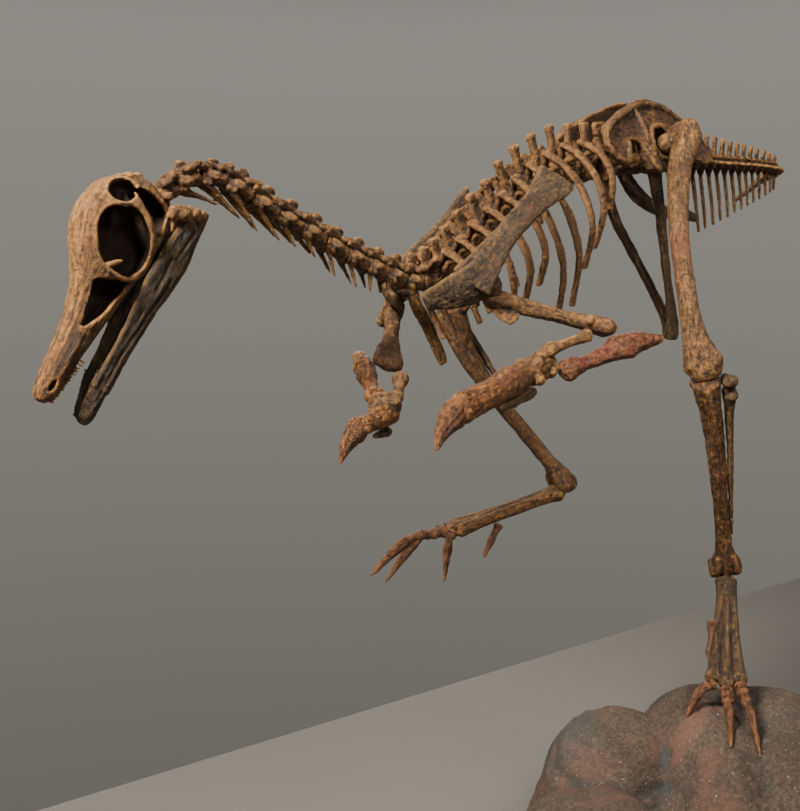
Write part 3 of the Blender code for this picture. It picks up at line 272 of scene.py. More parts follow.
def ball(centre, radii, axes=(LENGTHWISE, LATERAL, UP), sides=14):
    """Ball of one radius, or ellipsoid with three radii along axes."""
    radii = radii if isinstance(radii, tuple) else (radii,) * 3
    at = placed(centre, *axes)
    rings = []
    for k in range(sides // 2):
        polar = math.pi * (k + 0.5) / (sides // 2)
        rings.append([at(math.sin(polar) * c * radii[0], math.sin(polar) * s * radii[1],
                         math.cos(polar) * radii[2]) for c, s in turns(sides)])
    return skin(rings)


def lumps(at, rows, **options):
    """Balls at rows (place for at, radius or radii)."""
    return [ball(at(*place), radii, **options) for *place, radii in rows]


def hoop(points, radius):
    """Closed ring of round section through a loop of points in metres."""
    count = len(points)
    middle = sum(points, Vector()) / count
    verts = []
    faces = []
    for k, point in enumerate(points):
        along = (points[(k + 1) % count] - points[k - 1]).normalized()
        out = squared(point - middle, along)
        third = along.cross(out)
        verts += [point + (out * c + third * s) * (radius * MM) for c, s in turns(HOOP_SIDES)]
        near, far = k * HOOP_SIDES, (k + 1) % count * HOOP_SIDES
        for i in range(HOOP_SIDES):
            j = (i + 1) % HOOP_SIDES
            faces.append((near + i, near + j, far + j, far + i))
    return verts, faces


def block(shells):
    """Object made of loose closed shells, faces pointing out."""
    points = []
    faces = []
    for shell_points, shell_faces in shells:
        base = len(points)
        points += [tuple(p) for p in shell_points]
        faces += [tuple(base + i for i in face) for face in shell_faces]
    mesh = bpy.data.meshes.new("clay")
    mesh.from_pydata(points, [], faces)
    bm = bmesh.new()
    bm.from_mesh(mesh)
    bmesh.ops.recalc_face_normals(bm, faces=bm.faces)
    bm.to_mesh(mesh)
    bm.free()
    return shown("clay", mesh)


def shown(name, data):
    """New object of the scene."""
    obj = bpy.data.objects.new(name, data)
    bpy.context.scene.collection.objects.link(obj)
    return obj


def as_shell(obj):
    """An object's points and faces; the object is removed."""
    points = [v.co.copy() for v in obj.data.vertices]
    faces = [tuple(f.vertices) for f in obj.data.polygons]
    bpy.data.objects.remove(obj)
    return points, faces


def apply(obj, kind, **settings):
    """Change an object's mesh by one modifier."""
    mod = obj.modifiers.new("change", kind)
    for key, value in settings.items():
        setattr(mod, key, value)
    graph = bpy.context.evaluated_depsgraph_get()
    mesh = bpy.data.meshes.new_from_object(obj.evaluated_get(graph))
    obj.modifiers.clear()
    old = obj.data
    obj.data = mesh
    bpy.data.meshes.remove(old)


def fused(shells, grid):
    """Object with one skin of even small faces round overlapping shells."""
    obj = block(shells)
    apply(obj, "REMESH", mode="VOXEL", voxel_size=grid)
    return obj


def cut(obj, shells):
    """Take shells out of an object."""
    for shell in shells:
        tool = block([shell])
        apply(obj, "BOOLEAN", operation="DIFFERENCE", solver="EXACT", object=tool)
        bpy.data.objects.remove(tool)


def value_noise(points, cell, seed):
    """Smooth noise between -1 and 1 at points, for cells of this size in metres."""
    q = points / cell + seed * 17.37
    base = np.floor(q).astype(np.int64)
    f = q - base
    f = f * f * (3.0 - 2.0 * f)
    total = np.zeros(len(q))
    for corner in np.ndindex(2, 2, 2):
        x, y, z = (base + corner).T
        h = (x * 73856093) ^ (y * 19349663) ^ (z * 83492791)
        h = (h * 1103515245 + 12345 + seed * 7919) & 0x7FFFFFFF
        h = ((h >> 7) * 69069 + 1) & 0x7FFFFFFF
        total += np.where(corner, f, 1 - f).prod(axis=1) * (h / 0x7FFFFFFF)
    return total * 2.0 - 1.0


def triples(items, name):
    """Three numbers of each of a mesh's items, as an array."""
    values = np.zeros(len(items) * 3)
    items.foreach_get(name, values)
    return values.reshape(-1, 3)


def set_coordinates(mesh, co):
    """Write vertex positions back."""
    mesh.vertices.foreach_set("co", co.ravel())
    mesh.update()


def neighbour_mean(values, edges, count):
    """Mean of each vertex's neighbours, for an array of values per vertex."""
    first, second = edges.T
    total = np.zeros(values.shape)
    for k in range(values.shape[1]):
        total[:, k] = (np.bincount(first, values[second, k], len(values))
                       + np.bincount(second, values[first, k], len(values)))
    return total / count[:, None]


def along_grain(co):
    """Coordinates squeezed along the piece's length, so that noise in them draws fibres."""
    spread = co - co.mean(axis=0)
    way = np.linalg.eigh(spread.T @ spread)[1][:, 2]
    if way[np.argmax(np.abs(way))] < 0:
        way = -way
    return co - np.outer(co @ way, way) * (1.0 - GRAIN_SQUEEZE)


def weathered(obj, grid, rough, relax, marks, painted_shade):
    """Relax the fused skin, roughen it, and keep how hollow each point is, with any painted shade
    added, for the material to paint as shade and highlight.
    """
    mesh = obj.data
    edges = np.zeros(len(mesh.edges) * 2, np.int64)
    mesh.edges.foreach_get("vertices", edges)
    edges = edges.reshape(-1, 2)
    co = triples(mesh.vertices, "co")
    count = np.maximum(np.bincount(edges.ravel(), minlength=len(co)), 1).astype(float)
    for _ in range(relax):
        for push in RELAX:
            co += push * (neighbour_mean(co, edges, count) - co)
    set_coordinates(mesh, co)
    n = triples(mesh.vertex_normals, "vector")
    move = np.full(len(co), SWELL)
    for cell, depth, seed in rough:
        move += depth * value_noise(co, cell * MM, seed)
    move -= GRAIN_DEPTH * np.abs(value_noise(along_grain(co), GRAIN_WIDTH * MM, 11))
    if marks:
        move += marks(co, n)
    co = np.clip(co + n * (move * MM)[:, None], CAD_LOW, CAD_HIGH)
    set_coordinates(mesh, co)
    n = triples(mesh.vertex_normals, "vector")
    cavity_shade = ((neighbour_mean(co, edges, count) - co) * n).sum(1)[:, None] / grid
    for _ in range(NEAR_ROUNDS):
        cavity_shade = 0.5 * cavity_shade + 0.5 * neighbour_mean(cavity_shade, edges, count)
    wide = cavity_shade
    for _ in range(WIDE_ROUNDS):
        wide = 0.3 * wide + 0.7 * neighbour_mean(wide, edges, count)
    # Hollowness plus the piece's own painted shade: the materials paint it as shade in hollows and
    # as a highlight on ridges.
    depth = cavity_shade[:, 0] * NEAR_WEIGHT + wide[:, 0] * WIDE_WEIGHT
    if painted_shade:
        depth += painted_shade(co)
    layer = mesh.attributes.new("cavity_shade", "FLOAT", "POINT")
    layer.data.foreach_set("value", depth.astype(np.float32))
    layer = mesh.attributes.new("fibre", "FLOAT_VECTOR", "POINT")
    layer.data.foreach_set("vector", along_grain(co).astype(np.float32).ravel())
    mesh.shade_smooth()


def cast(name, node, shells, slot, paint, grid=MEDIUM, rough=BONE_ROUGH, relax=2, marks=None,
         painted_shade=None):
    """Finish one piece: fuse, weather, paint, and put it in its node's place."""
    obj = fused(shells, grid)
    weathered(obj, grid, rough, relax, marks, painted_shade)
    obj.name = name
    obj.data.name = name
    obj.data.materials.clear()
    obj.data.materials.append(LOOKS[paint])
    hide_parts(node)
    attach(obj, "root")
    return obj


# ------------------------------------------------------------------ materials

def feed(tree, socket, value):
    """Join an input to another socket, or set it to a colour or number."""
    if isinstance(value, bpy.types.NodeSocket):
        tree.links.new(value, socket)
    else:
        socket.default_value = (*value, 1.0) if isinstance(value, tuple) else value


def add(tree, kind, inputs, **settings):
    """Shader node with these settings, its inputs fed by name or number."""
    made = tree.nodes.new("ShaderNode" + kind)
    for key, value in settings.items():
        setattr(made, key, value)
    for key, value in inputs.items():
        feed(tree, made.inputs[key], value)
    return made


def math_node(tree, operation, a, b=0.0):
    """Result of one operation on numbers."""
    return add(tree, "Math", {0: a, 1: b}, operation=operation).outputs[0]


def ramp(tree, stops, source):
    """Colour ramp through (position, colour) stops."""
    made = add(tree, "ValToRGB", {"Fac": source})
    elements = made.color_ramp.elements
    for k, (position, colour) in enumerate(stops):
        element = elements[k] if k < 2 else elements.new(position)
        element.position = position
        element.color = (*colour, 1.0)
    return made.outputs["Color"]


def noise_field(tree, vector, scale, detail, roughness, distortion=0.0):
    """Noise at a scale in cells per metre."""
    return add(tree, "TexNoise", {"Vector": vector, "Scale": scale, "Detail": detail,
                                  "Roughness": roughness, "Distortion": distortion}).outputs["Fac"]


def mixed(tree, a, b, factor, mode="MIX"):
    """Mix two colours (sockets or tuples) by a factor (socket or number)."""
    return add(tree, "Mix", {0: factor, 6: a, 7: b}, data_type="RGBA", blend_type=mode,
               clamp_factor=True).outputs[2]


def ranged(tree, source, low, high, to_low=0.0, to_high=1.0):
    """Map a value from one range to another, clamped."""
    return add(tree, "MapRange", {"Value": source, "From Min": low, "From Max": high,
                                  "To Min": to_low, "To Max": to_high}).outputs["Result"]


def new_look(name):
    """New material, its tree, its object coordinates and its hollowness, which carries painted
    shade and painted highlight.
    """
    mat = bpy.data.materials.new(name)
    mat.use_nodes = True
    tree = mat.node_tree
    cavity_shade = add(tree, "Attribute", {}, attribute_name="cavity_shade").outputs["Fac"]
    return mat, tree, add(tree, "TexCoord", {}).outputs["Object"], cavity_shade


def dress(tree, colour, roughness, specular, height, strength, distance):
    """Feed a material's shader, with bumps of this height's shape."""
    bump = add(tree, "Bump", {"Strength": strength, "Distance": distance, "Height": height})
    for key, value in (("Base Color", colour), ("Roughness", roughness),
                       ("Specular IOR Level", specular), ("Normal", bump.outputs["Normal"])):
        feed(tree, tree.nodes["Principled BSDF"].inputs[key], value)


def toned(colour, share):
    """Colour made darker or lighter, at most white."""
    return tuple(min(1.0, share * c) for c in colour)


def bone_look(name, light, middle, dark, stain, stain_share, roughness):
    """Old fossil bone: fibrous ochre with dark cracks, stained in patches; painted shade in its
    pits and a painted highlight on its ridges.
    """
    mat, tree, coords, cavity_shade = new_look(name)
    fibre = add(tree, "Attribute", {}, attribute_name="fibre").outputs["Vector"]
    broad = noise_field(tree, coords, 60.0, 4.0, 0.6, 0.4)
    mottle = noise_field(tree, coords, 420.0, 6.0, 0.75, 0.3)
    streak = noise_field(tree, fibre, 900.0, 5.0, 0.75, 0.3)
    crack = noise_field(tree, fibre, 330.0, 3.0, 0.6, 0.8)
    grain = noise_field(tree, coords, 1500.0, 4.0, 0.7)
    colour = ramp(tree, [(0.36, dark), (0.49, middle), (0.62, light)], mottle)
    tone = ramp(tree, [(0.35, (0.30, 0.22, 0.14)), (0.55, (1.15, 1.13, 1.05))], streak)
    colour = mixed(tree, colour, tone, 0.85, "MULTIPLY")
    tone = ramp(tree, [(0.34, (0.60, 0.50, 0.36)), (0.58, (1.08, 1.06, 1.0))], broad)
    colour = mixed(tree, colour, tone, 0.9, "MULTIPLY")
    patch = ranged(tree, noise_field(tree, coords, 52.0, 3.0, 0.55, 0.8),
                   0.66 - stain_share, 0.80 - stain_share, 0.0, 0.8)
    colour = mixed(tree, colour, stain, patch)
    # Painted highlight: lighter where the skin bulges out, and on the skull's roof.
    painted_highlight = ranged(tree, cavity_shade, -0.30, -1.6, 0.0, 0.65)
    colour = mixed(tree, colour, toned(light, 1.5), painted_highlight)
    off_middle = math_node(tree, "ABSOLUTE", math_node(tree, "SUBTRACT", crack, 0.5))
    lines = ranged(tree, off_middle, 0.022, 0.004, 0.0, 0.85)
    speck = ranged(tree, grain, 0.58, 0.70, 0.0, 0.6)
    # Dark fibre lines and specks are the bone's own; the darkening by hollowness is painted shade.
    for share, factor in ((0.35, lines), (0.30, ranged(tree, cavity_shade, -0.04, 0.6)), (0.45, speck)):
        colour = mixed(tree, colour, toned(dark, share), factor)
    height = streak
    for part in (grain, mottle, ranged(tree, lines, 0.0, 1.0, 0.6, 0.0)):
        height = math_node(tree, "ADD", height, part)
    dull = ranged(tree, mottle, 0.3, 0.7, roughness - 0.15, roughness + 0.15)
    dress(tree, colour, dull, 0.45, height, 0.75, 0.0008)
    return mat


def stone_look(name):
    """Grey-brown granular stone with reddish and blue-green patches and pale specks, and painted
    shade in its hollows.
    """
    mat, tree, coords, cavity_shade = new_look(name)
    broad = noise_field(tree, coords, 14.0, 5.0, 0.6, 0.6)
    grain = noise_field(tree, coords, 420.0, 6.0, 0.75)
    colour = ramp(tree, [(0.30, (0.024, 0.018, 0.014)), (0.5, (0.060, 0.044, 0.032)),
                         (0.72, (0.115, 0.086, 0.064))], grain)
    red = ranged(tree, noise_field(tree, coords, 17.0, 4.0, 0.6, 1.0), 0.47, 0.66, 0.0, 0.60)
    colour = mixed(tree, colour, (0.15, 0.070, 0.052), red)
    teal = ranged(tree, noise_field(tree, coords, 11.0, 3.0, 0.5, 0.5), 0.56, 0.72, 0.0, 0.5)
    colour = mixed(tree, colour, (0.060, 0.088, 0.088), teal)
    tone = ramp(tree, [(0.3, (0.7, 0.7, 0.7)), (0.65, (1.15, 1.12, 1.08))], broad)
    colour = mixed(tree, colour, tone, 1.0, "MULTIPLY")
    # Painted shade: dark blue-grey in the stone's hollows and creases.
    colour = mixed(tree, colour, (0.028, 0.036, 0.037), ranged(tree, cavity_shade, 0.05, 0.9, 0.0, 0.85))
    speck = ranged(tree, noise_field(tree, coords, 900.0, 2.0, 0.5), 0.70, 0.76, 0.0, 0.8)
    colour = mixed(tree, colour, (0.55, 0.53, 0.50), speck)
    dress(tree, colour, 0.9, 0.25, grain, 0.8, 0.0015)
    return mat


# Tones of each bone: light, middle, dark, stain, share of the stain, roughness.
# bone_shade and bone_dark are darker copies of bone, painted shade for pieces that lie in shadow;
# bone_skull_lit is a lighter copy, painted light on the skull.
TONES = {
    "bone": ((0.32, 0.155, 0.042), (0.110, 0.052, 0.015), (0.018, 0.009, 0.004),
             (0.15, 0.050, 0.020), 0.04, 0.55),
    "bone_skull_lit": ((0.40, 0.195, 0.055), (0.235, 0.108, 0.030), (0.085, 0.036, 0.012),
                   (0.19, 0.065, 0.024), 0.03, 0.55),
    "bone_shade": ((0.24, 0.112, 0.030), (0.070, 0.032, 0.010), (0.012, 0.007, 0.004),
                   (0.11, 0.033, 0.014), 0.06, 0.55),
    "bone_dark": ((0.135, 0.073, 0.023), (0.052, 0.028, 0.010), (0.012, 0.008, 0.005),
                  (0.08, 0.030, 0.013), 0.05, 0.55),
    "bone_olive": ((0.19, 0.100, 0.031), (0.050, 0.029, 0.011), (0.014, 0.009, 0.005),
                   (0.10, 0.036, 0.015), 0.06, 0.55),
    "bone_foot": ((0.150, 0.078, 0.022), (0.036, 0.019, 0.007), (0.009, 0.006, 0.004),
                  (0.10, 0.028, 0.012), 0.08, 0.55),
    "toe": ((0.175, 0.068, 0.019), (0.066, 0.024, 0.008), (0.014, 0.007, 0.004),
            (0.12, 0.028, 0.011), 0.12, 0.42),
    "bone_red": ((0.34, 0.143, 0.037), (0.135, 0.052, 0.015), (0.026, 0.011, 0.005),
                 (0.18, 0.042, 0.018), 0.05, 0.42),
    "ulna_red": ((0.25, 0.104, 0.029), (0.095, 0.028, 0.011), (0.020, 0.008, 0.005),
                 (0.125, 0.022, 0.013), 0.20, 0.36),
    "claw": ((0.25, 0.098, 0.024), (0.095, 0.034, 0.010), (0.022, 0.009, 0.005),
             (0.14, 0.034, 0.012), 0.10, 0.42),
}
LOOKS = {name: bone_look(name, *tones) for name, tones in TONES.items()}
LOOKS["stone"] = stone_look("stone")


# ------------------------------------------------------------------ the column

def spine_points():
    """Centres of all the vertebrae from the first of the neck to the tip of the tail."""
    points = [mm(x, 0.0, z) for x, z in NECK + BACK]
    start, pitch = mm(*SACRUM_START), mm(*SACRUM_PITCH)
    points += [start + pitch * i for i in range(SACRALS)]
    path = [mm(*p) for p in TAIL_PATH]
    fine = [smooth(path, k / 20) for k in range((len(path) - 1) * 20 + 1)]
    lengths = [0.0]
    for a, b in zip(fine, fine[1:]):
        lengths.append(lengths[-1] + (b - a).length)
    for i in range(TAIL_COUNT):
        target = lengths[-1] * i / (TAIL_COUNT - 1)
        k = max(next(j for j, value in enumerate(lengths) if value >= target - 1e-9), 1)
        f = (target - lengths[k - 1]) / (lengths[k] - lengths[k - 1])
        points.append(fine[k - 1].lerp(fine[k], f))
    return points


class Vertebra:
    """Place and directions of one vertebra. at(a, s, z) is a point a towards the tail, s to
    the right and z up from the centre of its body."""

    def __init__(self, points, i):
        before, after = points[max(i - 1, 0)], points[min(i + 1, len(points) - 1)]
        self.along = (after - before).normalized()
        self.across = UP.cross(self.along).normalized()
        up = self.along.cross(self.across).normalized()
        self.pitch = (after - before).length / MM / (2 if 0 < i < len(points) - 1 else 1)
        self.at = placed(points[i], self.along, self.across, up)

    def share(self, r, side=RIGHT):
        """Like at, with a in shares of the pitch, s outward on one side and z in shares of r."""
        return lambda a, s, z: self.at(a * self.pitch, side * s * r, z * r)

    def outward(self, side):
        """Like at, with s outward on one side."""
        return lambda a, s, z: self.at(a, side * s, z)


NECK_COUNT = len(NECK)
BACK_END = NECK_COUNT + len(BACK)
SACRUM_END = BACK_END + SACRALS
POINTS = spine_points()
COLUMN = [Vertebra(POINTS, i) for i in range(len(POINTS))]


def spool(v, r, waist, reach=0.46):
    """Body of a vertebra: a spool with wide ends."""
    rows = [(-reach, 1.0), (-0.30, 0.93), (0, waist), (0.30, 0.93), (reach, 1.0)]
    return rod(v.share(r), [(a, 0, 0, size * r) for a, size in rows], wide=v.across, steps=2,
               cap=0.12)


# Tips of the thin ribs under the neck bones: x and height by vertebra, and distance from the
# middle.
NEEDLE_TIPS = {1: (-301.2, 412.2), 2: (-290.4, 407.2), 3: (-281.4, 402.4), 4: (-270.0, 399.2),
               5: (-261.2, 396.8), 6: (-250.5, 392.6), 7: (-239.0, 384.2), 8: (-226.2, 379.2),
               9: (-217.6, 377.6), 10: (-208.0, 375.4)}
NEEDLE_HALF_SPREAD = 4.0


def neck_needle(i, side, start):
    """Long thin rib of one neck vertebra; the far one ends a little higher and farther back."""
    x, z = NEEDLE_TIPS[i]
    far = side == RIGHT
    end = mm(x + 4.0 * far, side * NEEDLE_HALF_SPREAD, z + 2.0 * far)
    return loft(start.lerp, [(end, 0.0, 1.4, 1.6), (end, 0.35, 0.9, 1.1), (end, 0.75, 0.62, 0.68),
                             (end, 1.0, 0.36, 0.36)], wide=COLUMN[i].across, sides=8)


def neck_vertebra(i):
    """One neck vertebra: spool, arch, low rough spine, four joint prongs, side wings and the
    long needle of its rib."""
    v, h = COLUMN[i], NECK_SPINE[i]
    r = 3.6 + 0.11 * i
    lean = 0.8 + 0.5 * math.sin(2.3 * i)
    shells = [
        spool(v, r, 0.76),
        loft(v.share(r), [(-0.36, 0, 0.95, 0.72, 0.55), (0, 0, 1.05, 0.60, 0.62),
                          (0.36, 0, 0.95, 0.70, 0.5)], r, wide=v.across, steps=2),
        loft(v.at, [(-0.5, 0, 0.8 * r, 1.3, 3.6), (0.3 * lean, 0, 0.72 * h, 1.0, 3.0),
                    (lean, 0, h - 0.6, 1.5, 2.7)], wide=v.across, steps=3, square=0.8)]
    for side in (LEFT, RIGHT):
        at = v.share(r, side)
        shells += [rod(at, rows, steps=3) for rows in (
            [(-0.20, 0.5, 0.8, 1.7), (-0.62, 0.92, 0.95, 1.3)],
            [(0.15, 0.5, 1.0, 1.7), (0.58, 0.95, 1.35, 1.35)],
            [(-0.25, 0.5, 0.2, 2.3), (-0.18, 1 + 1.8 / r, 0, 1.9),
             (-0.05, 1 + 3.0 / r, -0.5 / r, 1.3)],
            [(-0.30, 0.55, -0.55, 1.8), (-0.22, 1 + 0.6 / r, -0.75, 1.5)])]
        if i in NEEDLE_TIPS:
            shells.append(neck_needle(i, side, at(-0.40, 0.80, -0.55)))
    return shells


def back_vertebra(i):
    """One back vertebra: spool, arch, side processes and a spine, tall and square behind."""
    k = i - NECK_COUNT
    v, h = COLUMN[i], BACK_SPINE[k]
    r = 5.0 + 0.06 * k
    if k >= FIRST_TALL_SPINE:
        spine = [(-0.4, 0, 1.2 * r, 2.0, 3.4), (0, 0, 0.62 * h, 1.7, 2.6),
                 (0.2, 0, 0.86 * h, 1.8, 2.6), (0.5, 0, h - 0.8, 2.3, 3.0)]
        square = 0.7
    else:
        spine = [(-0.4, 0, 1.2 * r, 1.8, 4.2), (0.3, 0, 0.7 * h, 1.3, 3.4),
                 (0.8, 0, h - 0.8, 2.0, 3.0)]
        square = 0.8
    shells = [
        spool(v, r, 0.72),
        loft(v.share(r), [(-0.30, 0, 1.0, 0.80, 0.62), (0, 0, 1.15, 0.72, 0.75),
                          (0.30, 0, 1.0, 0.78, 0.6)], r, wide=v.across, steps=2),
        loft(v.at, spine, wide=v.across, square=square, cap=0.3)]
    for side in (LEFT, RIGHT):
        shells.append(loft(v.outward(side), [(0, 0.5 * r, 1.2 * r, 3.0, 1.9),
                                             (0.2, 6.6, 0.52 * h, 2.3, 1.5),
                                             (0.4, 9.0, 0.62 * h, 2.6, 1.8)], wide=v.along))
        shells += [rod(v.share(r, side), rows, steps=3) for rows in (
            [(-0.10, 0.4, 1.3, 1.8), (-0.58, 0.72, 1.35, 1.4)],
            [(0.10, 0.4, 1.4, 1.8), (0.55, 0.62, 1.65, 1.3)])]
    return shells


def back_rib(i, side):
    """One rib of a back vertebra, with its two heads."""
    k = i - NECK_COUNT - 1
    h = BACK_SPINE[k + 1]
    at = COLUMN[i].outward(side)
    drop, width, lean = RIB_DROP[side][k], RIB_WIDTH[k], RIB_LEAN[k]
    head = at(0, 7.4, 0.60 * h)
    inner = abs(head.y) / MM
    shape = [(0.0, 0.0, 0.0), (0.13, 0.50, 0.03), (0.36, 0.88, 0.30), (0.66, 0.98, 0.68),
             (1.0, 0.66 if drop > SHORT_RIB else 0.84, 1.0)]
    stations = []
    for n, (down, out, back) in enumerate(shape):
        y = side * (inner + (width - inner) * out)
        f = n / (len(shape) - 1)
        place = Vector((head.x + lean * drop * back * MM, y * MM, head.z - drop * down * MM))
        stations.append((place, 2.9 - 0.9 * f, 1.75 - 0.55 * f))
    return [sweep(stations, wide=LENGTHWISE, sides=12, steps=6, cap=0.25),
            sweep([(at(-1.5, 3.6, 0.5), 1.7, 1.7), (at(-0.8, 7.6, 0.28 * h), 1.35, 1.35),
                   (stations[1][0], 1.6, 1.6)])]


def half_trunk(side):
    """Shells of one side of the trunk, cut off at the midline."""
    obj = fused([s for i in range(NECK_COUNT, BACK_END) for s in back_vertebra(i)], MEDIUM)
    bm = bmesh.new()
    bm.from_mesh(obj.data)
    bmesh.ops.bisect_plane(bm, geom=bm.faces[:] + bm.edges[:] + bm.verts[:],
                           plane_co=(0, side * MIDLINE_GAP * MM, 0), plane_no=(0, side, 0),
                           clear_inner=True)
    bmesh.ops.holes_fill(bm, edges=[e for e in bm.edges if e.is_boundary], sides=0)
    bmesh.ops.triangulate(bm, faces=[f for f in bm.faces if len(f.verts) > 4])
    bmesh.ops.recalc_face_normals(bm, faces=bm.faces)
    bm.to_mesh(obj.data)
    bm.free()
    return [as_shell(obj)] + [s for i in range(NECK_COUNT + 1, BACK_END)
                              for s in back_rib(i, side)]


def sacral_vertebra(i):
    """One fused hip vertebra with its strut on each side and its share of the long crest."""
    f = (i - BACK_END) / (SACRALS - 1)
    v, h = COLUMN[i], SACRAL_SPINE - 9.0 * f
    struts = [(0, 2.0, 1.0, 4.2, 3.0), (0, 8.5, 2.6, 2.4, 2.4), (0, 14.5, 4.8, 3.8, 3.2)]
    return [spool(v, 4.6 - 0.3 * f, 0.80, 0.55),
            loft(v.at, [(-0.4, 0, 2.0, 3.0, 5.0), (0, 0, 0.45 * h, 1.3, 6.2),
                        (0.4, 0, h - 0.9, 1.6, 5.2)], wide=v.across, square=0.75, cap=0.3),
            *(loft(v.outward(side), struts, wide=v.along) for side in (LEFT, RIGHT))]


def chevron(v, r, k):
    """Forked bone hanging under one tail vertebra."""
    p = v.pitch
    long = CHEVRON_LONG * (1.0 - 0.058 * k)
    thick = 1.0 - 0.3 * k / CHEVRONS
    joint = v.at(0.30 * p + 1.0, 0, -r - 0.10 * long)
    tip = v.at(0.30 * p + 0.16 * long, 0, -1.5 - long)
    middle = joint.lerp(tip, 0.45) + v.along * (0.5 * MM)
    fork = [sweep([(v.share(r, side)(0.42, 0.42, -0.75), thick, thick),
                   (joint, 0.95 * thick, 0.95 * thick)], steps=3, sides=8)
            for side in (LEFT, RIGHT)]
    return fork + [sweep([(joint, 1.05 * thick, 1.35 * thick), (middle, 0.9 * thick, 1.6 * thick),
                          (tip, 0.62, 1.0)], wide=v.across, sides=10, cap=0.3)]


def tail_vertebra(i):
    """One tail vertebra, smaller and plainer towards the tip."""
    k = i - SACRUM_END
    f = k / (TAIL_COUNT - 1)
    v = COLUMN[i]
    p = v.pitch
    r = 4.3 * (1.0 - f) + 1.5 * f
    h = 1.5 * r + 14.0 * (1.0 - f) ** 1.6
    wing = r + 11.0 * (1.0 - f) ** 2.2
    thin = 0.75 + 0.5 * (1.0 - f)
    shells = [
        spool(v, r, 0.74),
        loft(v.share(r), [(-0.30, 0, 0.9, 0.62, 0.42), (0.30, 0, 0.95, 0.55, 0.4)], r,
             wide=v.across, steps=3),
        loft(v.at, [(0.02 * p, 0, 0.7 * r, thin, 0.26 * p),
                    (0.14 * p, 0, 0.6 * h, 0.8 * thin, 0.19 * p),
                    (0.24 * p, 0, h - 0.6, 1.1 * thin, 0.17 * p)],
             wide=v.across, steps=3, square=0.8)]
    for side in (LEFT, RIGHT):
        if f < 0.65:
            shells.append(loft(v.outward(side), [
                (0, 0.4 * r, 0.1 * r, 0.26 * p, 1.2),
                (0.08 * p, 0.6 * (r + wing), -0.02 * r, 0.20 * p, 0.95),
                (0.16 * p, wing, -0.1 * r, 0.17 * p, 0.8)], wide=v.along, steps=3))
        shells += [rod(v.share(r, side), rows, steps=3, sides=8) for rows in (
            [(-0.05, 0.4, 0.95, 0.32 * r), (-0.66, 0.62, 1.25, 0.22 * r + 0.15)],
            [(0.1, 0.32, 1.1, 0.32 * r), (0.50, 0.40, 1.35, 0.24 * r + 0.1)])]
    return shells + (chevron(v, r, k) if k < CHEVRONS else [])


# ------------------------------------------------------------------ pelvis

# Hip blade: x, lower and upper edge, half thickness at the lower edge; no point is above
# ILIUM_TOP.
ILIUM_EDGES = [(-57, 459, 468, 1.3), (-51, 453.5, 473, 1.6), (-44, 450.5, 477, 1.6),
               (-37.5, 450.5, 480.5, 1.6), (-34.5, 464, 482.5, 1.6), (-24, 465, 487, 2.0),
               (-18.5, 455, 489.5, 4.0), (-13, 449.5, 491.5, 5.0), (-3, 450, 493.5, 3.4),
               (7, 454, 493.5, 5.0), (14, 454, 491.8, 4.4), (19, 463, 490, 2.0),
               (32, 461.5, 483.5, 1.6), (46, 459.5, 476, 1.6), (56, 464, 469.5, 1.3)]
# Threads of bone on its outer face: how proud, then x, z and radius.
ILIUM_LIP = 1.2, [(-56, 460.5, 1.6), (-55, 466.5, 2.0), (-49, 472.5, 2.1), (-42, 476.5, 2.0),
                  (-34, 480.5, 1.8), (-24, 485.0, 1.7), (-14, 488.5, 1.7), (-3, 490.0, 1.7),
                  (8, 489.8, 1.8), (16, 487.5, 1.8), (26, 484.0, 1.5), (38, 477.5, 1.3),
                  (50, 471.0, 1.1)]
ILIUM_HOOK = 1.4, [(-56, 461, 1.5), (-51.5, 455.6, 1.8), (-45, 452.6, 1.9), (-39, 452.6, 1.9),
                   (-36.6, 458.0, 1.7), (-35.4, 464.0, 1.2)]
ILIUM_BRACE = 1.6, [(-17, 466, 2.6), (-17.5, 473, 2.2), (-19, 480, 1.6), (-22, 485, 1.0)]
ILIUM_TOP = 493.0
# Stubs that carry the sacrum, the pubis and the ischium.
ILIUM_STUBS = [[(6, 20.0, 474, 3.4, 3.4), (12, 22.0, 477, 3.0, 3.6)],
               [(-16, 19.5, 462, 3.6, 4.4), (-12, 19.5, 452, 4.4, 5.0)],
               [(8, 19.5, 462, 3.6, 4.2), (11, 19.5, 456.5, 4.0, 4.6)]]
# Socket: its height, the radius of its rim, and where its bore starts and ends.
SOCKET_Z, SOCKET_RIM = HIP_Z + 1.0, 9.8
BORE = [(HIP_X, 8.0, SOCKET_Z, 8.3), (HIP_X, 32.0, SOCKET_Z, 9.0)]


def blade_y(z):
    """Half distance between the ilia at height z: they lean together on top."""
    lean = (z - 452.0) / 40.0
    return 20.0 - 12.0 * max(lean, 0.0) ** 1.15


